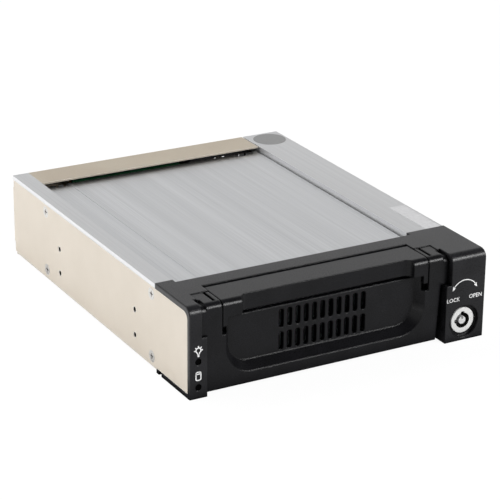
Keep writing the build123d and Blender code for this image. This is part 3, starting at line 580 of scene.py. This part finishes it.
class FlatPrint:
    """Thin printed shapes on a flat face, drawn in millimetres."""

    TOP_SHARE = 0.6  # share of the lift above which a face belongs to the top
    AGAINST = -0.5  # cosine under which its normal points the wrong way

    def __init__(self, facing: Facing, level: float, lift: float = 0.05) -> None:
        """Start an empty print.

        Args:
            facing: Way that the print faces.
            level: Place of the face that it lies on, in millimetres: y for a front print, z for a top one.
            lift: Thickness of the print in millimetres.
        """
        self.facing = facing
        self.level = level
        self.lift = lift
        self.mesh = bmesh.new()

    def point(self, u: float, v: float, lift: float) -> Vector:
        """Give the place of a print coordinate at some lift above the face."""
        if self.facing is Facing.FRONT:
            return Vector((u, self.level - lift, v)) * MM
        return Vector((u, v, self.level + lift)) * MM

    def patch(self, outline: list) -> None:
        """Add a filled shape with closed sides.

        Args:
            outline: Its corners as (u, v), counter-clockwise as seen from the side that it faces.
        """
        top = [self.mesh.verts.new(self.point(u, v, self.lift)) for u, v in outline]
        low = [self.mesh.verts.new(self.point(u, v, 0.0)) for u, v in outline]
        self.mesh.faces.new(top)
        self.mesh.faces.new(reversed(low))
        for k in range(len(outline)):
            after = (k + 1) % len(outline)
            self.mesh.faces.new((top[k], low[k], low[after], top[after]))

    def line(self, points: list, width: float, closed: bool = False) -> None:
        """Add a line of even width.

        Args:
            points: Its points as (u, v).
            width: Its width in millimetres.
            closed: Whether its ends join.
        """
        path = [Vector((u, v, 0.0)) for u, v in points]
        count = len(path)
        sides = []
        for k, here in enumerate(path):
            before = path[(k - 1) % count] if closed or k > 0 else here
            after = path[(k + 1) % count] if closed or k < count - 1 else here
            along = (after - before).normalized()
            across = Vector((-along.y, along.x, 0.0)) * width / 2
            sides.append((here + across, here - across))
        for k in range(count if closed else count - 1):
            (left, right), (left_next, right_next) = sides[k], sides[(k + 1) % count]
            corners = [right, right_next, left_next, left]
            self.patch([(c.x, c.y) for c in corners])

    def arc(self, centre: tuple, radius: float, start: float, end: float, steps: int = 24) -> list:
        """Give points along an arc.

        Args:
            centre: Its centre as (u, v).
            radius: Its radius in millimetres.
            start: First angle in degrees.
            end: Last angle in degrees.
            steps: Number of steps.

        Returns:
            The points as (u, v).
        """
        angles = [math.radians(start + (end - start) * k / steps) for k in range(steps + 1)]
        return [(centre[0] + radius * math.cos(a), centre[1] + radius * math.sin(a)) for a in angles]

    def word(self, text: str, centre: tuple, width: float) -> None:
        """Add a word in plain capitals.

        Args:
            text: The word.
            centre: Its middle as (u, v).
            width: Its width in millimetres.
        """
        curve = bpy.data.curves.new(text, "FONT")
        curve.body = text
        curve.resolution_u = 3
        curve.offset = LETTER_WEIGHT
        maker = put(text, curve)
        drawn = bpy.data.meshes.new_from_object(maker.evaluated_get(bpy.context.evaluated_depsgraph_get()))
        low = Vector([min(v.co[axis] for v in drawn.vertices) for axis in range(3)])
        high = Vector([max(v.co[axis] for v in drawn.vertices) for axis in range(3)])
        scale = width / (high.x - low.x)
        middle = (low + high) / 2
        places = [((v.co - middle) * scale) for v in drawn.vertices]
        made = [self.mesh.verts.new(self.point(centre[0] + p.x, centre[1] + p.y, self.lift)) for p in places]
        for face in drawn.polygons:
            self.mesh.faces.new([made[k] for k in face.vertices])
        bpy.data.objects.remove(maker)
        bpy.data.meshes.remove(drawn)

    def finish(self, name: str, body: str) -> Object:
        """Close the print and make its piece.

        Args:
            name: Name of the piece.
            body: Body that it rides on.

        Returns:
            The new object.
        """
        wanted = Vector((0.0, -1.0, 0.0)) if self.facing is Facing.FRONT else Vector((0.0, 0.0, 1.0))
        self.mesh.normal_update()
        for face in self.mesh.faces:
            centre_lift = (face.calc_center_median() - self.point(0, 0, 0)).dot(wanted)
            if centre_lift > self.TOP_SHARE * self.lift * MM and face.normal.dot(wanted) < self.AGAINST:
                face.normal_flip()
        mesh = bpy.data.meshes.new(name)
        self.mesh.to_mesh(mesh)
        self.mesh.free()
        return new_piece(name, mesh, body)


# ---- Repeated small pieces, made with Geometry Nodes


class NodeRecipe(Nodes):
    """A Geometry Nodes tree with named inputs, and short calls that fill it."""

    KINDS = {int: "Int", float: "Float", tuple: "Vector"}

    def __init__(self, name: str, inputs: dict) -> None:
        """Make a tree with its inputs and one output.

        Args:
            name: Name of the tree.
            inputs: Value of each input, by its name: an int, a float, or a tuple for a vector.
        """
        super().__init__(bpy.data.node_groups.new(name, "GeometryNodeTree"))
        self.values = inputs
        for label, value in inputs.items():
            kind = self.KINDS[type(value)]
            self.tree.interface.new_socket(label, in_out="INPUT", socket_type=f"NodeSocket{kind}")
        self.tree.interface.new_socket("Geometry", in_out="OUTPUT", socket_type="NodeSocketGeometry")
        self.given = self.add("NodeGroupInput")
        self.result = self.add("NodeGroupOutput")

    def join_all(self, links: tuple) -> None:
        """Link nodes, each link given as a source node, its output, a target node and its input."""
        for link in links:
            self.join(*link)

    def end(self, source: Node, out: str, material: Material) -> None:
        """Realize what a node gives, set its material, and send it out."""
        real = self.add("GeometryNodeRealizeInstances")
        dress = self.add("GeometryNodeSetMaterial")
        dress.inputs["Material"].default_value = material
        self.join_all(((source, out, real, "Geometry"), (real, "Geometry", dress, "Geometry"),
                       (dress, "Geometry", self.result, "Geometry")))

    def bake(self, name: str, body: str) -> Object:
        """Run the tree and keep its result as one plain mesh.

        Args:
            name: Name of the piece.
            body: Body that it rides on.

        Returns:
            The new object.
        """
        holder = put(f"{name}_maker", bpy.data.meshes.new(f"{name}_maker"))
        modifier = holder.modifiers.new("recipe", "NODES")
        modifier.node_group = self.tree
        for item in self.tree.interface.items_tree:
            if item.in_out == "INPUT":
                modifier[item.identifier] = self.values[item.name]
        mesh = bpy.data.meshes.new_from_object(holder.evaluated_get(bpy.context.evaluated_depsgraph_get()))
        bpy.data.objects.remove(holder)
        return new_piece(name, mesh, body)


@dataclass
class ContactRow:
    """A straight row of small flat contacts or pins along X."""

    paints: Paintbox
    name: str
    body: str
    start: Vector
    count: int
    pitch: float
    size: tuple
    finish: BrushedMetal = GOLD

    def build(self) -> Object:
        """Make the row, and give it as one plain mesh."""
        recipe = NodeRecipe("contact_row", {"Count": self.count, "Pitch": self.pitch, "Size": self.size,
                                            "Start": tuple(self.start)})
        given = recipe.given
        step = recipe.add("ShaderNodeCombineXYZ")
        line = recipe.add("GeometryNodeMeshLine")
        contact = recipe.add("GeometryNodeMeshCube")
        repeat = recipe.add("GeometryNodeInstanceOnPoints")
        recipe.join_all((
            (given, "Pitch", step, "X"),
            (step, "Vector", line, "Offset"),
            (given, "Start", line, "Start Location"),
            (given, "Count", line, "Count"),
            (given, "Size", contact, "Size"),
            (line, "Mesh", repeat, "Points"),
            (contact, "Mesh", repeat, "Instance"),
        ))
        recipe.end(repeat, "Instances", self.paints.material(self.finish))
        return recipe.bake(self.name, self.body)


@dataclass
class Chip:
    """A flat chip that lies on the front of an upright board, with a row of legs above and below."""

    paints: Paintbox
    name: str
    body: str
    centre: tuple
    board_face: float
    size: tuple = (8.0 * MM, 1.1 * MM, 4.0 * MM)
    corner: float = 0.2 * MM
    legs: int = 8
    leg: tuple = (0.45 * MM, 0.3 * MM, 1.0 * MM)

    def build(self) -> None:
        """Make the chip and its legs."""
        block = bmesh.new()
        bmesh.ops.create_cube(block, size=1.0)
        bmesh.ops.scale(block, vec=self.size, verts=block.verts)
        middle = (self.centre[0], self.board_face - self.size[1] / 2, self.centre[1])
        bmesh.ops.translate(block, vec=middle, verts=block.verts)
        bmesh.ops.bevel(block, geom=list(block.edges), offset=self.corner, segments=1, affect="EDGES")
        mesh = bpy.data.meshes.new(self.name)
        block.to_mesh(mesh)
        block.free()
        self.paints.paint(new_piece(self.name, mesh, self.body), CONNECTOR)
        pitch = self.size[0] / self.legs
        reach = self.size[2] / 2 + self.leg[2] / 2 - self.corner
        for side, end in ((1, "upper"), (-1, "lower")):
            start = Vector((self.centre[0] - pitch * (self.legs - 1) / 2, self.board_face - self.leg[1] / 2,
                            self.centre[1] + side * reach))
            row = f"{self.name}_{end}_legs"
            ContactRow(self.paints, row, self.body, start, self.legs, pitch, self.leg, SCREW_METAL).build()


@dataclass
class ThreadedBushes:
    """Blind bushes pressed into the bay holes of one side, in a grid of two by two; their near-black, hardly
    reflecting finish is painted shade deep in the holes.
    """

    paints: Paintbox
    side: int
    first: tuple
    pitch: tuple
    outer: float = 72.7 * MM
    length: float = 2.1 * MM
    bore: float = 1.19 * MM
    wall: float = 0.05 * MM
    corners: int = 20
    end_depth: float = 0.9

    def build(self) -> Object:
        """Make the bushes, and give them as one plain mesh."""
        middle = (self.side * (self.outer - self.length / 2), self.first[0] + self.pitch[0] / 2,
                  self.first[1] + self.pitch[1] / 2)
        recipe = NodeRecipe("threaded_bushes", {"Pitch Y": self.pitch[0], "Pitch Z": self.pitch[1], "Middle": middle,
                                                "Radius": self.bore + self.wall / 2, "Wall": self.wall,
                                                "Length": self.length, "End": (0.5 - self.end_depth) * self.length})
        given = recipe.given
        grid = recipe.add("GeometryNodeMeshGrid")
        grid.inputs["Vertices X"].default_value = 2
        grid.inputs["Vertices Y"].default_value = 2
        turn = recipe.add("GeometryNodeTransform")
        turn.inputs["Rotation"].default_value = (0.0, math.pi / 2, 0.0)
        circle = recipe.add("GeometryNodeCurvePrimitiveCircle")
        circle.inputs["Resolution"].default_value = self.corners
        profile = recipe.add("GeometryNodeCurvePrimitiveQuadrilateral")
        tube = recipe.add("GeometryNodeCurveToMesh")
        end = recipe.add("GeometryNodeMeshCylinder")
        end.inputs["Vertices"].default_value = self.corners
        low = recipe.add("GeometryNodeTransform")
        drop = recipe.add("ShaderNodeCombineXYZ")
        bush = recipe.add("GeometryNodeJoinGeometry")
        repeat = recipe.add("GeometryNodeInstanceOnPoints")
        repeat.inputs["Rotation"].default_value = (0.0, self.side * math.pi / 2, 0.0)
        recipe.join_all((
            (given, "Pitch Z", grid, "Size X"),
            (given, "Pitch Y", grid, "Size Y"),
            (grid, "Mesh", turn, "Geometry"),
            (given, "Middle", turn, "Translation"),
            (given, "Radius", circle, "Radius"),
            (given, "Wall", profile, "Width"),
            (given, "Length", profile, "Height"),
            (circle, "Curve", tube, "Curve"),
            (profile, "Curve", tube, "Profile Curve"),
            (given, "Radius", end, "Radius"),
            (given, "Wall", end, "Depth"),
            (given, "End", drop, "Z"),
            (drop, "Vector", low, "Translation"),
            (end, "Mesh", low, "Geometry"),
            (tube, "Mesh", bush, "Geometry"),
            (low, "Geometry", bush, "Geometry"),
            (turn, "Geometry", repeat, "Points"),
            (bush, "Geometry", repeat, "Instance"),
        ))
        recipe.end(repeat, "Instances", self.paints.material(BUSH_PAINTED_SHADE))
        name = "left_bay_bushes" if self.side < 0 else "right_bay_bushes"
        return recipe.bake(name, "cage")


# ---- Sub-assemblies


@dataclass
class Housing:
    """Sheet metal, rails and screws of the cage, with the bare sticker and label on its right rail."""

    paints: Paintbox
    sticker_centre: tuple = (63.7, 83.9)
    sticker_radius: float = 8.3
    sticker_arc: tuple = (0, 350, 35)
    label_low: tuple = (64.0, -59.0)
    label_high: tuple = (71.8, -28.4)
    hole_first: tuple = (-39.7 * MM, 9.5 * MM)
    hole_pitch: tuple = (79.25 * MM, 11.94 * MM)
    side_slot_shade_depth: float = 0.5 * MM
    rear_slot_shade_depth: float = 0.3 * MM
    paper: float = 0.08

    def dress(self) -> None:
        """Cover the nodes."""
        # The screw heads get painted shade deeper than these depths under their outer faces.
        side_head = ScrewHead("side_screw_steel", Axis.X, CAD_HIGH.x - self.side_slot_shade_depth)
        rear_head = ScrewHead("rear_screw_steel", Axis.Y, CAD_HIGH.y - self.rear_slot_shade_depth)
        self.paints.dress(PANEL_PAINT, "base_pan", "left_side_panel", "right_side_panel")
        self.paints.dress(RAIL_METAL, "left_rail", "right_rail")
        self.paints.dress(REAR_PAINT, "rear_panel")
        self.paints.dress(side_head, "left_side_screws", "right_side_screws")
        self.paints.dress(rear_head, "rear_screws")
        self.paints.dress(RUNNER, "left_runner", "right_runner")

    def stickers(self) -> None:
        """Lay the round sticker and the paper label, both bare, on the right rail."""
        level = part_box("right_rail")[1].z / MM
        disc = FlatPrint(Facing.UP, level, self.paper)
        disc.patch(disc.arc(self.sticker_centre, self.sticker_radius, *self.sticker_arc))
        self.paints.paint(disc.finish("round_sticker", "cage"), STICKER)
        label = FlatPrint(Facing.UP, level, self.paper)
        (x0, y0), (x1, y1) = self.label_low, self.label_high
        label.patch([(x0, y0), (x1, y0), (x1, y1), (x0, y1)])
        self.paints.paint(label.finish("rail_label", "cage"), LABEL)

    def build(self) -> None:
        """Dress the nodes and make the small pieces."""
        self.dress()
        self.stickers()
        for side in (-1, 1):
            ThreadedBushes(self.paints, side, self.hole_first, self.hole_pitch).build()


@dataclass
class FrontMoulding:
    """The black moulding with its lights and its white prints, in millimetres."""

    paints: Paintbox
    column_setback: float = 1.9
    light_x: float = -69.1
    bulb_z: float = 22.0
    bulb_radius: float = 1.15
    bulb_arc: tuple = (-60, 240)
    neck_half: float = 0.4
    neck_drop: float = 1.5
    stem: tuple = (1.2, 0.9)
    ray: tuple = (0.25, 0.95)
    ray_angles: tuple = (0, 45, 90, 135, 180)
    disk_z: float = 10.3
    disk_half: tuple = (1.15, 1.4)
    disk_squash: float = 0.4
    disk_steps: tuple = (20, 12)
    line: float = 0.5
    lock_word: tuple = (56.6, 20.2)
    open_word: tuple = (68.2, 20.5)
    word_width: float = 6.8
    turn_centre: tuple = (62.3, 21.9)
    turn_radius: float = 7.0
    turn_line: tuple = (36, 144, 32)
    turn_width: float = 0.42
    turn_tips: tuple = (22, 158)
    turn_head: tuple = (16.0, 0.85)

    def dress(self) -> None:
        """Cover the nodes."""
        self.paints.dress(BLACK, "cage_bezel")
        self.paints.dress(LENS, "led_lenses")
        self.paints.dress(BOARD, "led_board")

    def sheet(self, setback: float = 0.0) -> FlatPrint:
        """Start a print on a front face that lies some way behind the lock block's."""
        return FlatPrint(Facing.FRONT, CAD_LOW.y / MM + setback)

    def bulb(self) -> FlatPrint:
        """Draw the lamp sign: a bulb outline with its stem and rays."""
        sheet = self.sheet(self.column_setback)
        centre = (self.light_x, self.bulb_z)
        foot = self.bulb_z - self.neck_drop * self.bulb_radius
        neck = [(self.light_x - self.neck_half, foot), (self.light_x + self.neck_half, foot)]
        sheet.line(sheet.arc(centre, self.bulb_radius, *self.bulb_arc) + neck, self.line, closed=True)
        length, width = self.stem
        sheet.line([(self.light_x, foot), (self.light_x, foot - length)], width)
        for angle in self.ray_angles:
            ray = [sheet.arc(centre, self.bulb_radius + r, angle, angle, 1)[0] for r in self.ray]
            sheet.line(ray, self.line)
        return sheet

    def disk(self) -> FlatPrint:
        """Draw the disk sign: a standing cylinder in outline."""
        sheet = self.sheet(self.column_setback)
        half, rise = self.disk_half
        top, bottom, deep = self.disk_z + rise, self.disk_z - rise, half * self.disk_squash
        whole, part = self.disk_steps
        lid = [(self.light_x + half * math.cos(a), top + deep * math.sin(a))
               for a in (math.tau * k / whole for k in range(whole))]
        sheet.line(lid, self.line, closed=True)
        base = [(self.light_x - half * math.cos(a), bottom - deep * math.sin(a))
                for a in (math.pi * k / part for k in range(part + 1))]
        sheet.line([(self.light_x - half, top)] + base + [(self.light_x + half, top)], self.line)
        return sheet

    def turn(self) -> FlatPrint:
        """Draw the turning arrow over the lock, with a head at each end."""
        sheet = self.sheet()
        sheet.line(sheet.arc(self.turn_centre, self.turn_radius, *self.turn_line), self.turn_width)
        length, half = self.turn_head
        right, left = self.turn_tips
        for tip, root in ((right, right + length), (left, left - length)):
            point = sheet.arc(self.turn_centre, self.turn_radius, tip, tip, 1)[0]
            inner = sheet.arc(self.turn_centre, self.turn_radius - half, root, root, 1)[0]
            outer = sheet.arc(self.turn_centre, self.turn_radius + half, root, root, 1)[0]
            sheet.patch([point, outer, inner] if root > tip else [point, inner, outer])
        return sheet

    def words(self) -> FlatPrint:
        """Draw the two plain words that tell which way the lock turns."""
        sheet = self.sheet()
        sheet.word("LOCK", self.lock_word, self.word_width)
        sheet.word("OPEN", self.open_word, self.word_width)
        return sheet

    def build(self) -> None:
        """Dress the nodes and make the prints."""
        self.dress()
        for name, draw in (("bulb_sign", self.bulb), ("disk_sign", self.disk), ("turn_sign", self.turn),
                           ("lock_words", self.words)):
            self.paints.paint(draw().finish(name, "cage"), PRINT)


@dataclass
class KeyLock:
    """The tubular lock: pale ring, core, nut and cam."""

    paints: Paintbox
    keyway_radius: float = 3.58 * MM
    ring_thickness: float = 0.9 * MM

    def build(self) -> None:
        """Dress the nodes; the ring gets painted shade where its keyway goes in."""
        low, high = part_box("lock_barrel")
        ring = LockRing("lock_ring", ((low.x + high.x) / 2, (low.z + high.z) / 2), self.keyway_radius,
                        low.y + self.ring_thickness)
        self.paints.dress(ring, "lock_barrel")
        self.paints.dress(CORE_METAL, "lock_core")
        self.paints.dress(SCREW_METAL, "lock_nut", "lock_cam", "cam_screw")


@dataclass
class Fan:
    """The fan behind its guard."""

    paints: Paintbox

    def build(self) -> None:
        """Dress the nodes."""
        self.paints.dress(RUNNER, "fan_frame", "fan_rotor")
        self.paints.dress(DARK_METAL, "fan_screws")


@dataclass
class Backplane:
    """The fixed board with its socket, standoffs and rear ports, and their contacts."""

    paints: Paintbox
    tongue_half: float = 0.8 * MM
    power_tongue_half: float = 1.3 * MM
    port_mouth: float = 8.0 * MM
    leaf: float = 0.06 * MM
    leaf_share: float = 0.5
    leaf_margin: float = 1.2 * MM
    data_row: tuple = (7, 3.2 * MM)
    power_row: tuple = (4, 4.4 * MM)
    chip_place: tuple = (-17.0 * MM, 30.0 * MM)
    capacitor_row: tuple = (-38.0 * MM, 7.5 * MM)
    capacitor: tuple = (1.0 * MM, 0.7 * MM, 1.8 * MM)
    capacitors: int = 9
    capacitor_pitch: float = 2.6 * MM

    def port_row(self, name: str, node: str, half: float, row: tuple) -> None:
        """Lay a row of contacts on the tongue of a rear port.

        Args:
            name: Name of the row.
            node: Node of the port.
            half: Half of the tongue's thickness.
            row: Number of contacts, and distance from the port's sides to the first and last one.
        """
        count, inset = row
        low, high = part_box(node)
        pitch = (high.x - low.x - 2 * inset) / (count - 1)
        middle_z = (low.z + high.z) / 2 + half
        start = Vector((low.x + inset, high.y - self.port_mouth / 2, middle_z))
        size = (self.leaf_share * pitch, self.port_mouth - self.leaf_margin, self.leaf)
        ContactRow(self.paints, name, "cage", start, count, pitch, size).build()

    def build(self) -> None:
        """Dress the nodes and lay the contacts."""
        self.paints.dress(BOARD, "backplane_board")
        self.paints.dress(BRASS, "board_standoffs")
        self.paints.dress(CONNECTOR, "backplane_socket", "power_port")
        self.paints.dress(SCREW_METAL, "data_port")
        self.port_row("data_contacts", "data_port", self.tongue_half, self.data_row)
        self.port_row("power_contacts", "power_port", self.power_tongue_half, self.power_row)
        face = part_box("backplane_board")[0].y
        Chip(self.paints, "backplane_chip", "cage", self.chip_place, face).build()
        x, z = self.capacitor_row
        start = Vector((x, face - self.capacitor[1] / 2, z))
        ContactRow(self.paints, "backplane_capacitors", "cage", start, self.capacitors, self.capacitor_pitch,
                   self.capacitor, BRASS).build()


@dataclass
class Tray:
    """The sliding tray with its cover, board, connectors and black front."""

    paints: Paintbox
    cover_slot_shade_depth: float = 0.3 * MM
    plug_contacts: int = 20
    plug_length: float = 3.2 * MM
    plug_setback: float = 0.2 * MM
    plug_inset: float = 3.4 * MM
    plug_half: float = 1.5 * MM
    leaf: float = 0.04 * MM
    leaf_share: float = 0.45

    def dress(self) -> None:
        """Cover the nodes."""
        # The cover screw heads get painted shade deeper than their top less this depth.
        cover_head = ScrewHead("cover_screw_steel", Axis.Z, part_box("cover_screws")[1].z - self.cover_slot_shade_depth)
        self.paints.dress(TRAY_METAL, "tray_body", "tray_cover")
        self.paints.dress(cover_head, "cover_screws")
        self.paints.dress(SCREW_METAL, "tray_front_screws")
        self.paints.dress(BOARD, "tray_board")
        self.paints.dress(CONNECTOR, "drive_connector", "tray_plug")
        self.paints.dress(TRAY_BLACK, "tray_bezel")

    def plug_row(self) -> None:
        """Lay the contacts on the tongue of the plug."""
        low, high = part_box("tray_plug")
        count = self.plug_contacts
        pitch = (high.x - low.x - 2 * self.plug_inset) / (count - 1)
        start = Vector((low.x + self.plug_inset, high.y - self.plug_length / 2 - self.plug_setback,
                        (low.z + high.z) / 2 + self.plug_half))
        size = (self.leaf_share * pitch, self.plug_length, self.leaf)
        ContactRow(self.paints, "plug_contacts", "tray", start, count, pitch, size).build()

    def build(self) -> None:
        """Dress the nodes and lay the contacts."""
        self.dress()
        self.plug_row()


@dataclass
class Handle:
    """The swing-up handle on its two pins."""

    paints: Paintbox

    def build(self) -> None:
        """Dress the nodes."""
        self.paints.dress(TRAY_BLACK, "handle")
        self.paints.dress(SCREW_METAL, "handle_pins")


# ---- Stage


@dataclass(frozen=True)
class Lamp:
    """A soft rectangular lamp that points at the object, in metres and watts."""

    name: str
    place: tuple
    size: tuple
    power: float
    mirrored: bool = False
    reach: Reach = Reach.ALL

    def lights(self, thing: Object) -> bool:
        """Tell whether the lamp lights a piece."""
        own = {slot.material.name.split(".")[0] for slot in thing.material_slots if slot.material}
        bright = bool(own & {finish.name for finish in BRIGHT_METAL})
        return thing.type == "MESH" and bright == (self.reach is Reach.BRIGHT_METAL)

    def build(self) -> None:
        """Hang the lamp; one that gloss mirrors lights only its own pieces, so that the others don't clip."""
        data = bpy.data.lights.new(self.name, "AREA")
        data.shape = "RECTANGLE"
        data.size, data.size_y = self.size
        data.energy = self.power
        lamp = put(self.name, data)
        lamp.visible_glossy = self.mirrored
        aim = LAMP_TARGET - Vector(self.place)
        lamp.matrix_world = Matrix.Translation(self.place) @ aim.to_track_quat("-Z", "Y").to_matrix().to_4x4()
        if self.reach is Reach.ALL:
            return
        lit = bpy.data.collections.new(f"{self.name}_receivers")
        for thing in bpy.context.scene.objects:
            if self.lights(thing):
                lit.objects.link(thing)
        lamp.light_linking.receiver_collection = lit


LAMPS = (
    Lamp("left_lamp", (-1.3, 0.5, 0.4), (1.0, 0.6), 6.4),
    Lamp("rear_lamp", (-0.4, 0.9, 1.1), (0.8, 0.8), 8.0),
    Lamp("strip_lamp", (0.68, -1.11, 0.75), (1.0, 0.36), 17.0, True, Reach.OTHERS),
    Lamp("front_lamp", (0.1, -1.6, 0.7), (3.0, 1.2), 6.0, True, Reach.BRIGHT_METAL),
)


@dataclass
class Studio:
    """Camera, lamps, floor and background, in metres and degrees.

    The spans are where the background and the mirrored floor change, and the strengths are what gloss sees there.
    """

    eye: tuple = (-0.42692, -0.77405, 0.37408)
    azimuth: float = -29.22
    elevation: float = 21.742
    roll: float = 0.571
    lens: float = 147.64
    sensor: float = 36.0
    clip: tuple = (0.05, 20.0)
    depth_span: tuple = (-0.1, 0.6)
    ahead: float = 0.12
    behind: float = 0.81
    side_span: tuple = (-0.9, -0.3)
    beside: float = 0.46
    height_span: tuple = (0.48, 0.7)
    overhead: float = 0.3
    floor_half: float = 3.0
    floor_gap: float = 0.05 * MM
    floor_colour: tuple = (0.85, 0.85, 0.85, 1.0)
    floor_glow: float = 1.07
    floor_share: float = 0.87
    front_span: tuple = (-0.11, -0.085)
    floor_ahead: float = 0.48
    floor_painted_shadow: float = 0.02
    rear_span: tuple = (0.09, 0.12)
    left_span: tuple = (-0.09, -0.073)
    floor_round: float = 1.3

    def camera(self) -> None:
        """Set up the camera at the photograph's angle."""
        data = bpy.data.cameras.new("camera")
        data.lens = self.lens
        data.sensor_width = self.sensor
        data.clip_start, data.clip_end = self.clip
        camera = put("camera", data)
        a, e = math.radians(self.azimuth), math.radians(self.elevation)
        back = Vector((math.sin(a) * math.cos(e), -math.cos(a) * math.cos(e), math.sin(e)))
        turn = back.to_track_quat("Z", "Y").to_matrix().to_4x4()
        turn = turn @ Matrix.Rotation(math.radians(self.roll), 4, "Z")
        camera.matrix_world = Matrix.Translation(Vector(self.eye)) @ turn
        bpy.context.scene.camera = camera

    def background(self) -> None:
        """Light the world softly, brighter behind and to the left, and show it white behind the object."""
        world = bpy.data.worlds.new("world")
        world.use_nodes = True
        bpy.context.scene.world = world
        nodes = Nodes(world.node_tree)
        shade = nodes.tree.nodes["Background"]
        shade.inputs["Color"].default_value = WHITE
        parts = nodes.parts(nodes.add("ShaderNodeTexCoord"), "Generated")
        depth = nodes.spread(parts, "Y", self.depth_span, (self.ahead, self.behind), "SMOOTHSTEP")
        left = nodes.spread(parts, "X", self.side_span, (self.beside, 0.0), "SMOOTHSTEP")
        height = nodes.spread(parts, "Z", self.height_span, (1.0, self.overhead), "SMOOTHSTEP")
        level = nodes.calculate("ADD", (depth, "Result"), (left, "Result"))
        light = nodes.calculate("MULTIPLY", (level, "Value"), (height, "Result"))
        rays = nodes.add("ShaderNodeLightPath")
        seen = nodes.calculate("MAXIMUM", (rays, "Is Camera Ray"), (rays, "Is Transmission Ray"))
        nodes.join(nodes.calculate("MAXIMUM", (light, "Value"), (seen, "Value")), "Value", shade, "Strength")

    def floor_material(self) -> Material:
        """Make a white floor that keeps a faint shadow; gloss sees a painted reflection on it, with a painted shadow
        under the object, dimmer in front and glowing behind and to the left.
        """
        material = bpy.data.materials.new("floor")
        material.use_nodes = True
        nodes = Nodes(material.node_tree)
        nodes.tree.nodes.clear()
        matt = nodes.add("ShaderNodeBsdfDiffuse")
        matt.inputs["Color"].default_value = self.floor_colour
        glow = nodes.add("ShaderNodeEmission")
        glow.inputs["Strength"].default_value = self.floor_glow
        mirrored = nodes.add("ShaderNodeEmission")
        parts = nodes.parts(nodes.add("ShaderNodeTexCoord"), "Object")
        # Painted shadow and painted light for gloss only: dark under the object, dimmer in front, glowing behind and
        # to the left.
        front = nodes.spread(parts, "Y", self.front_span, (self.floor_ahead, self.floor_painted_shadow), "SMOOTHSTEP")
        rear = nodes.spread(parts, "Y", self.rear_span, (0.0, self.floor_round), "SMOOTHSTEP")
        left = nodes.spread(parts, "X", self.left_span, (self.floor_round, 0.0), "SMOOTHSTEP")
        sides = nodes.calculate("MAXIMUM", (rear, "Result"), (left, "Result"))
        level = nodes.calculate("MAXIMUM", (front, "Result"), (sides, "Value"))
        nodes.join(level, "Value", mirrored, "Strength")
        rays = nodes.add("ShaderNodeLightPath")
        share = nodes.calculate("MULTIPLY", (rays, "Is Camera Ray"), self.floor_share)
        white = nodes.add("ShaderNodeMixShader")
        both = nodes.add("ShaderNodeMixShader")
        for link in ((share, "Value", white, "Fac"), (matt, "BSDF", white, 1), (glow, "Emission", white, 2),
                     (rays, "Is Glossy Ray", both, "Fac"), (white, "Shader", both, 1),
                     (mirrored, "Emission", both, 2),
                     (both, "Shader", nodes.add("ShaderNodeOutputMaterial"), "Surface")):
            nodes.join(*link)
        return material

    def floor(self) -> None:
        """Lay the floor just under the object."""
        mesh = bpy.data.meshes.new("floor")
        half = self.floor_half
        corners = [(x, y, CAD_LOW.z - self.floor_gap) for x, y in ((-half, -half), (half, -half), (half, half),
                                                                   (-half, half))]
        mesh.from_pydata(corners, [], [(0, 1, 2, 3)])
        floor = put("floor", mesh)
        mesh.materials.append(self.floor_material())

    def build(self) -> None:
        """Set up everything around the object."""
        self.camera()
        self.background()
        self.floor()
        for lamp in LAMPS:
            lamp.build()
        bpy.context.scene.view_settings.view_transform = "Standard"


def main() -> None:
    """Build every sub-assembly in order."""
    logging.basicConfig(level=logging.INFO)
    paints = Paintbox()
    for part in (Housing, FrontMoulding, KeyLock, Fan, Backplane, Tray, Handle):
        part(paints).build()
        log.info("finished %s", part.__name__)
    Studio().build()


if __name__ == "__main__":
    main()
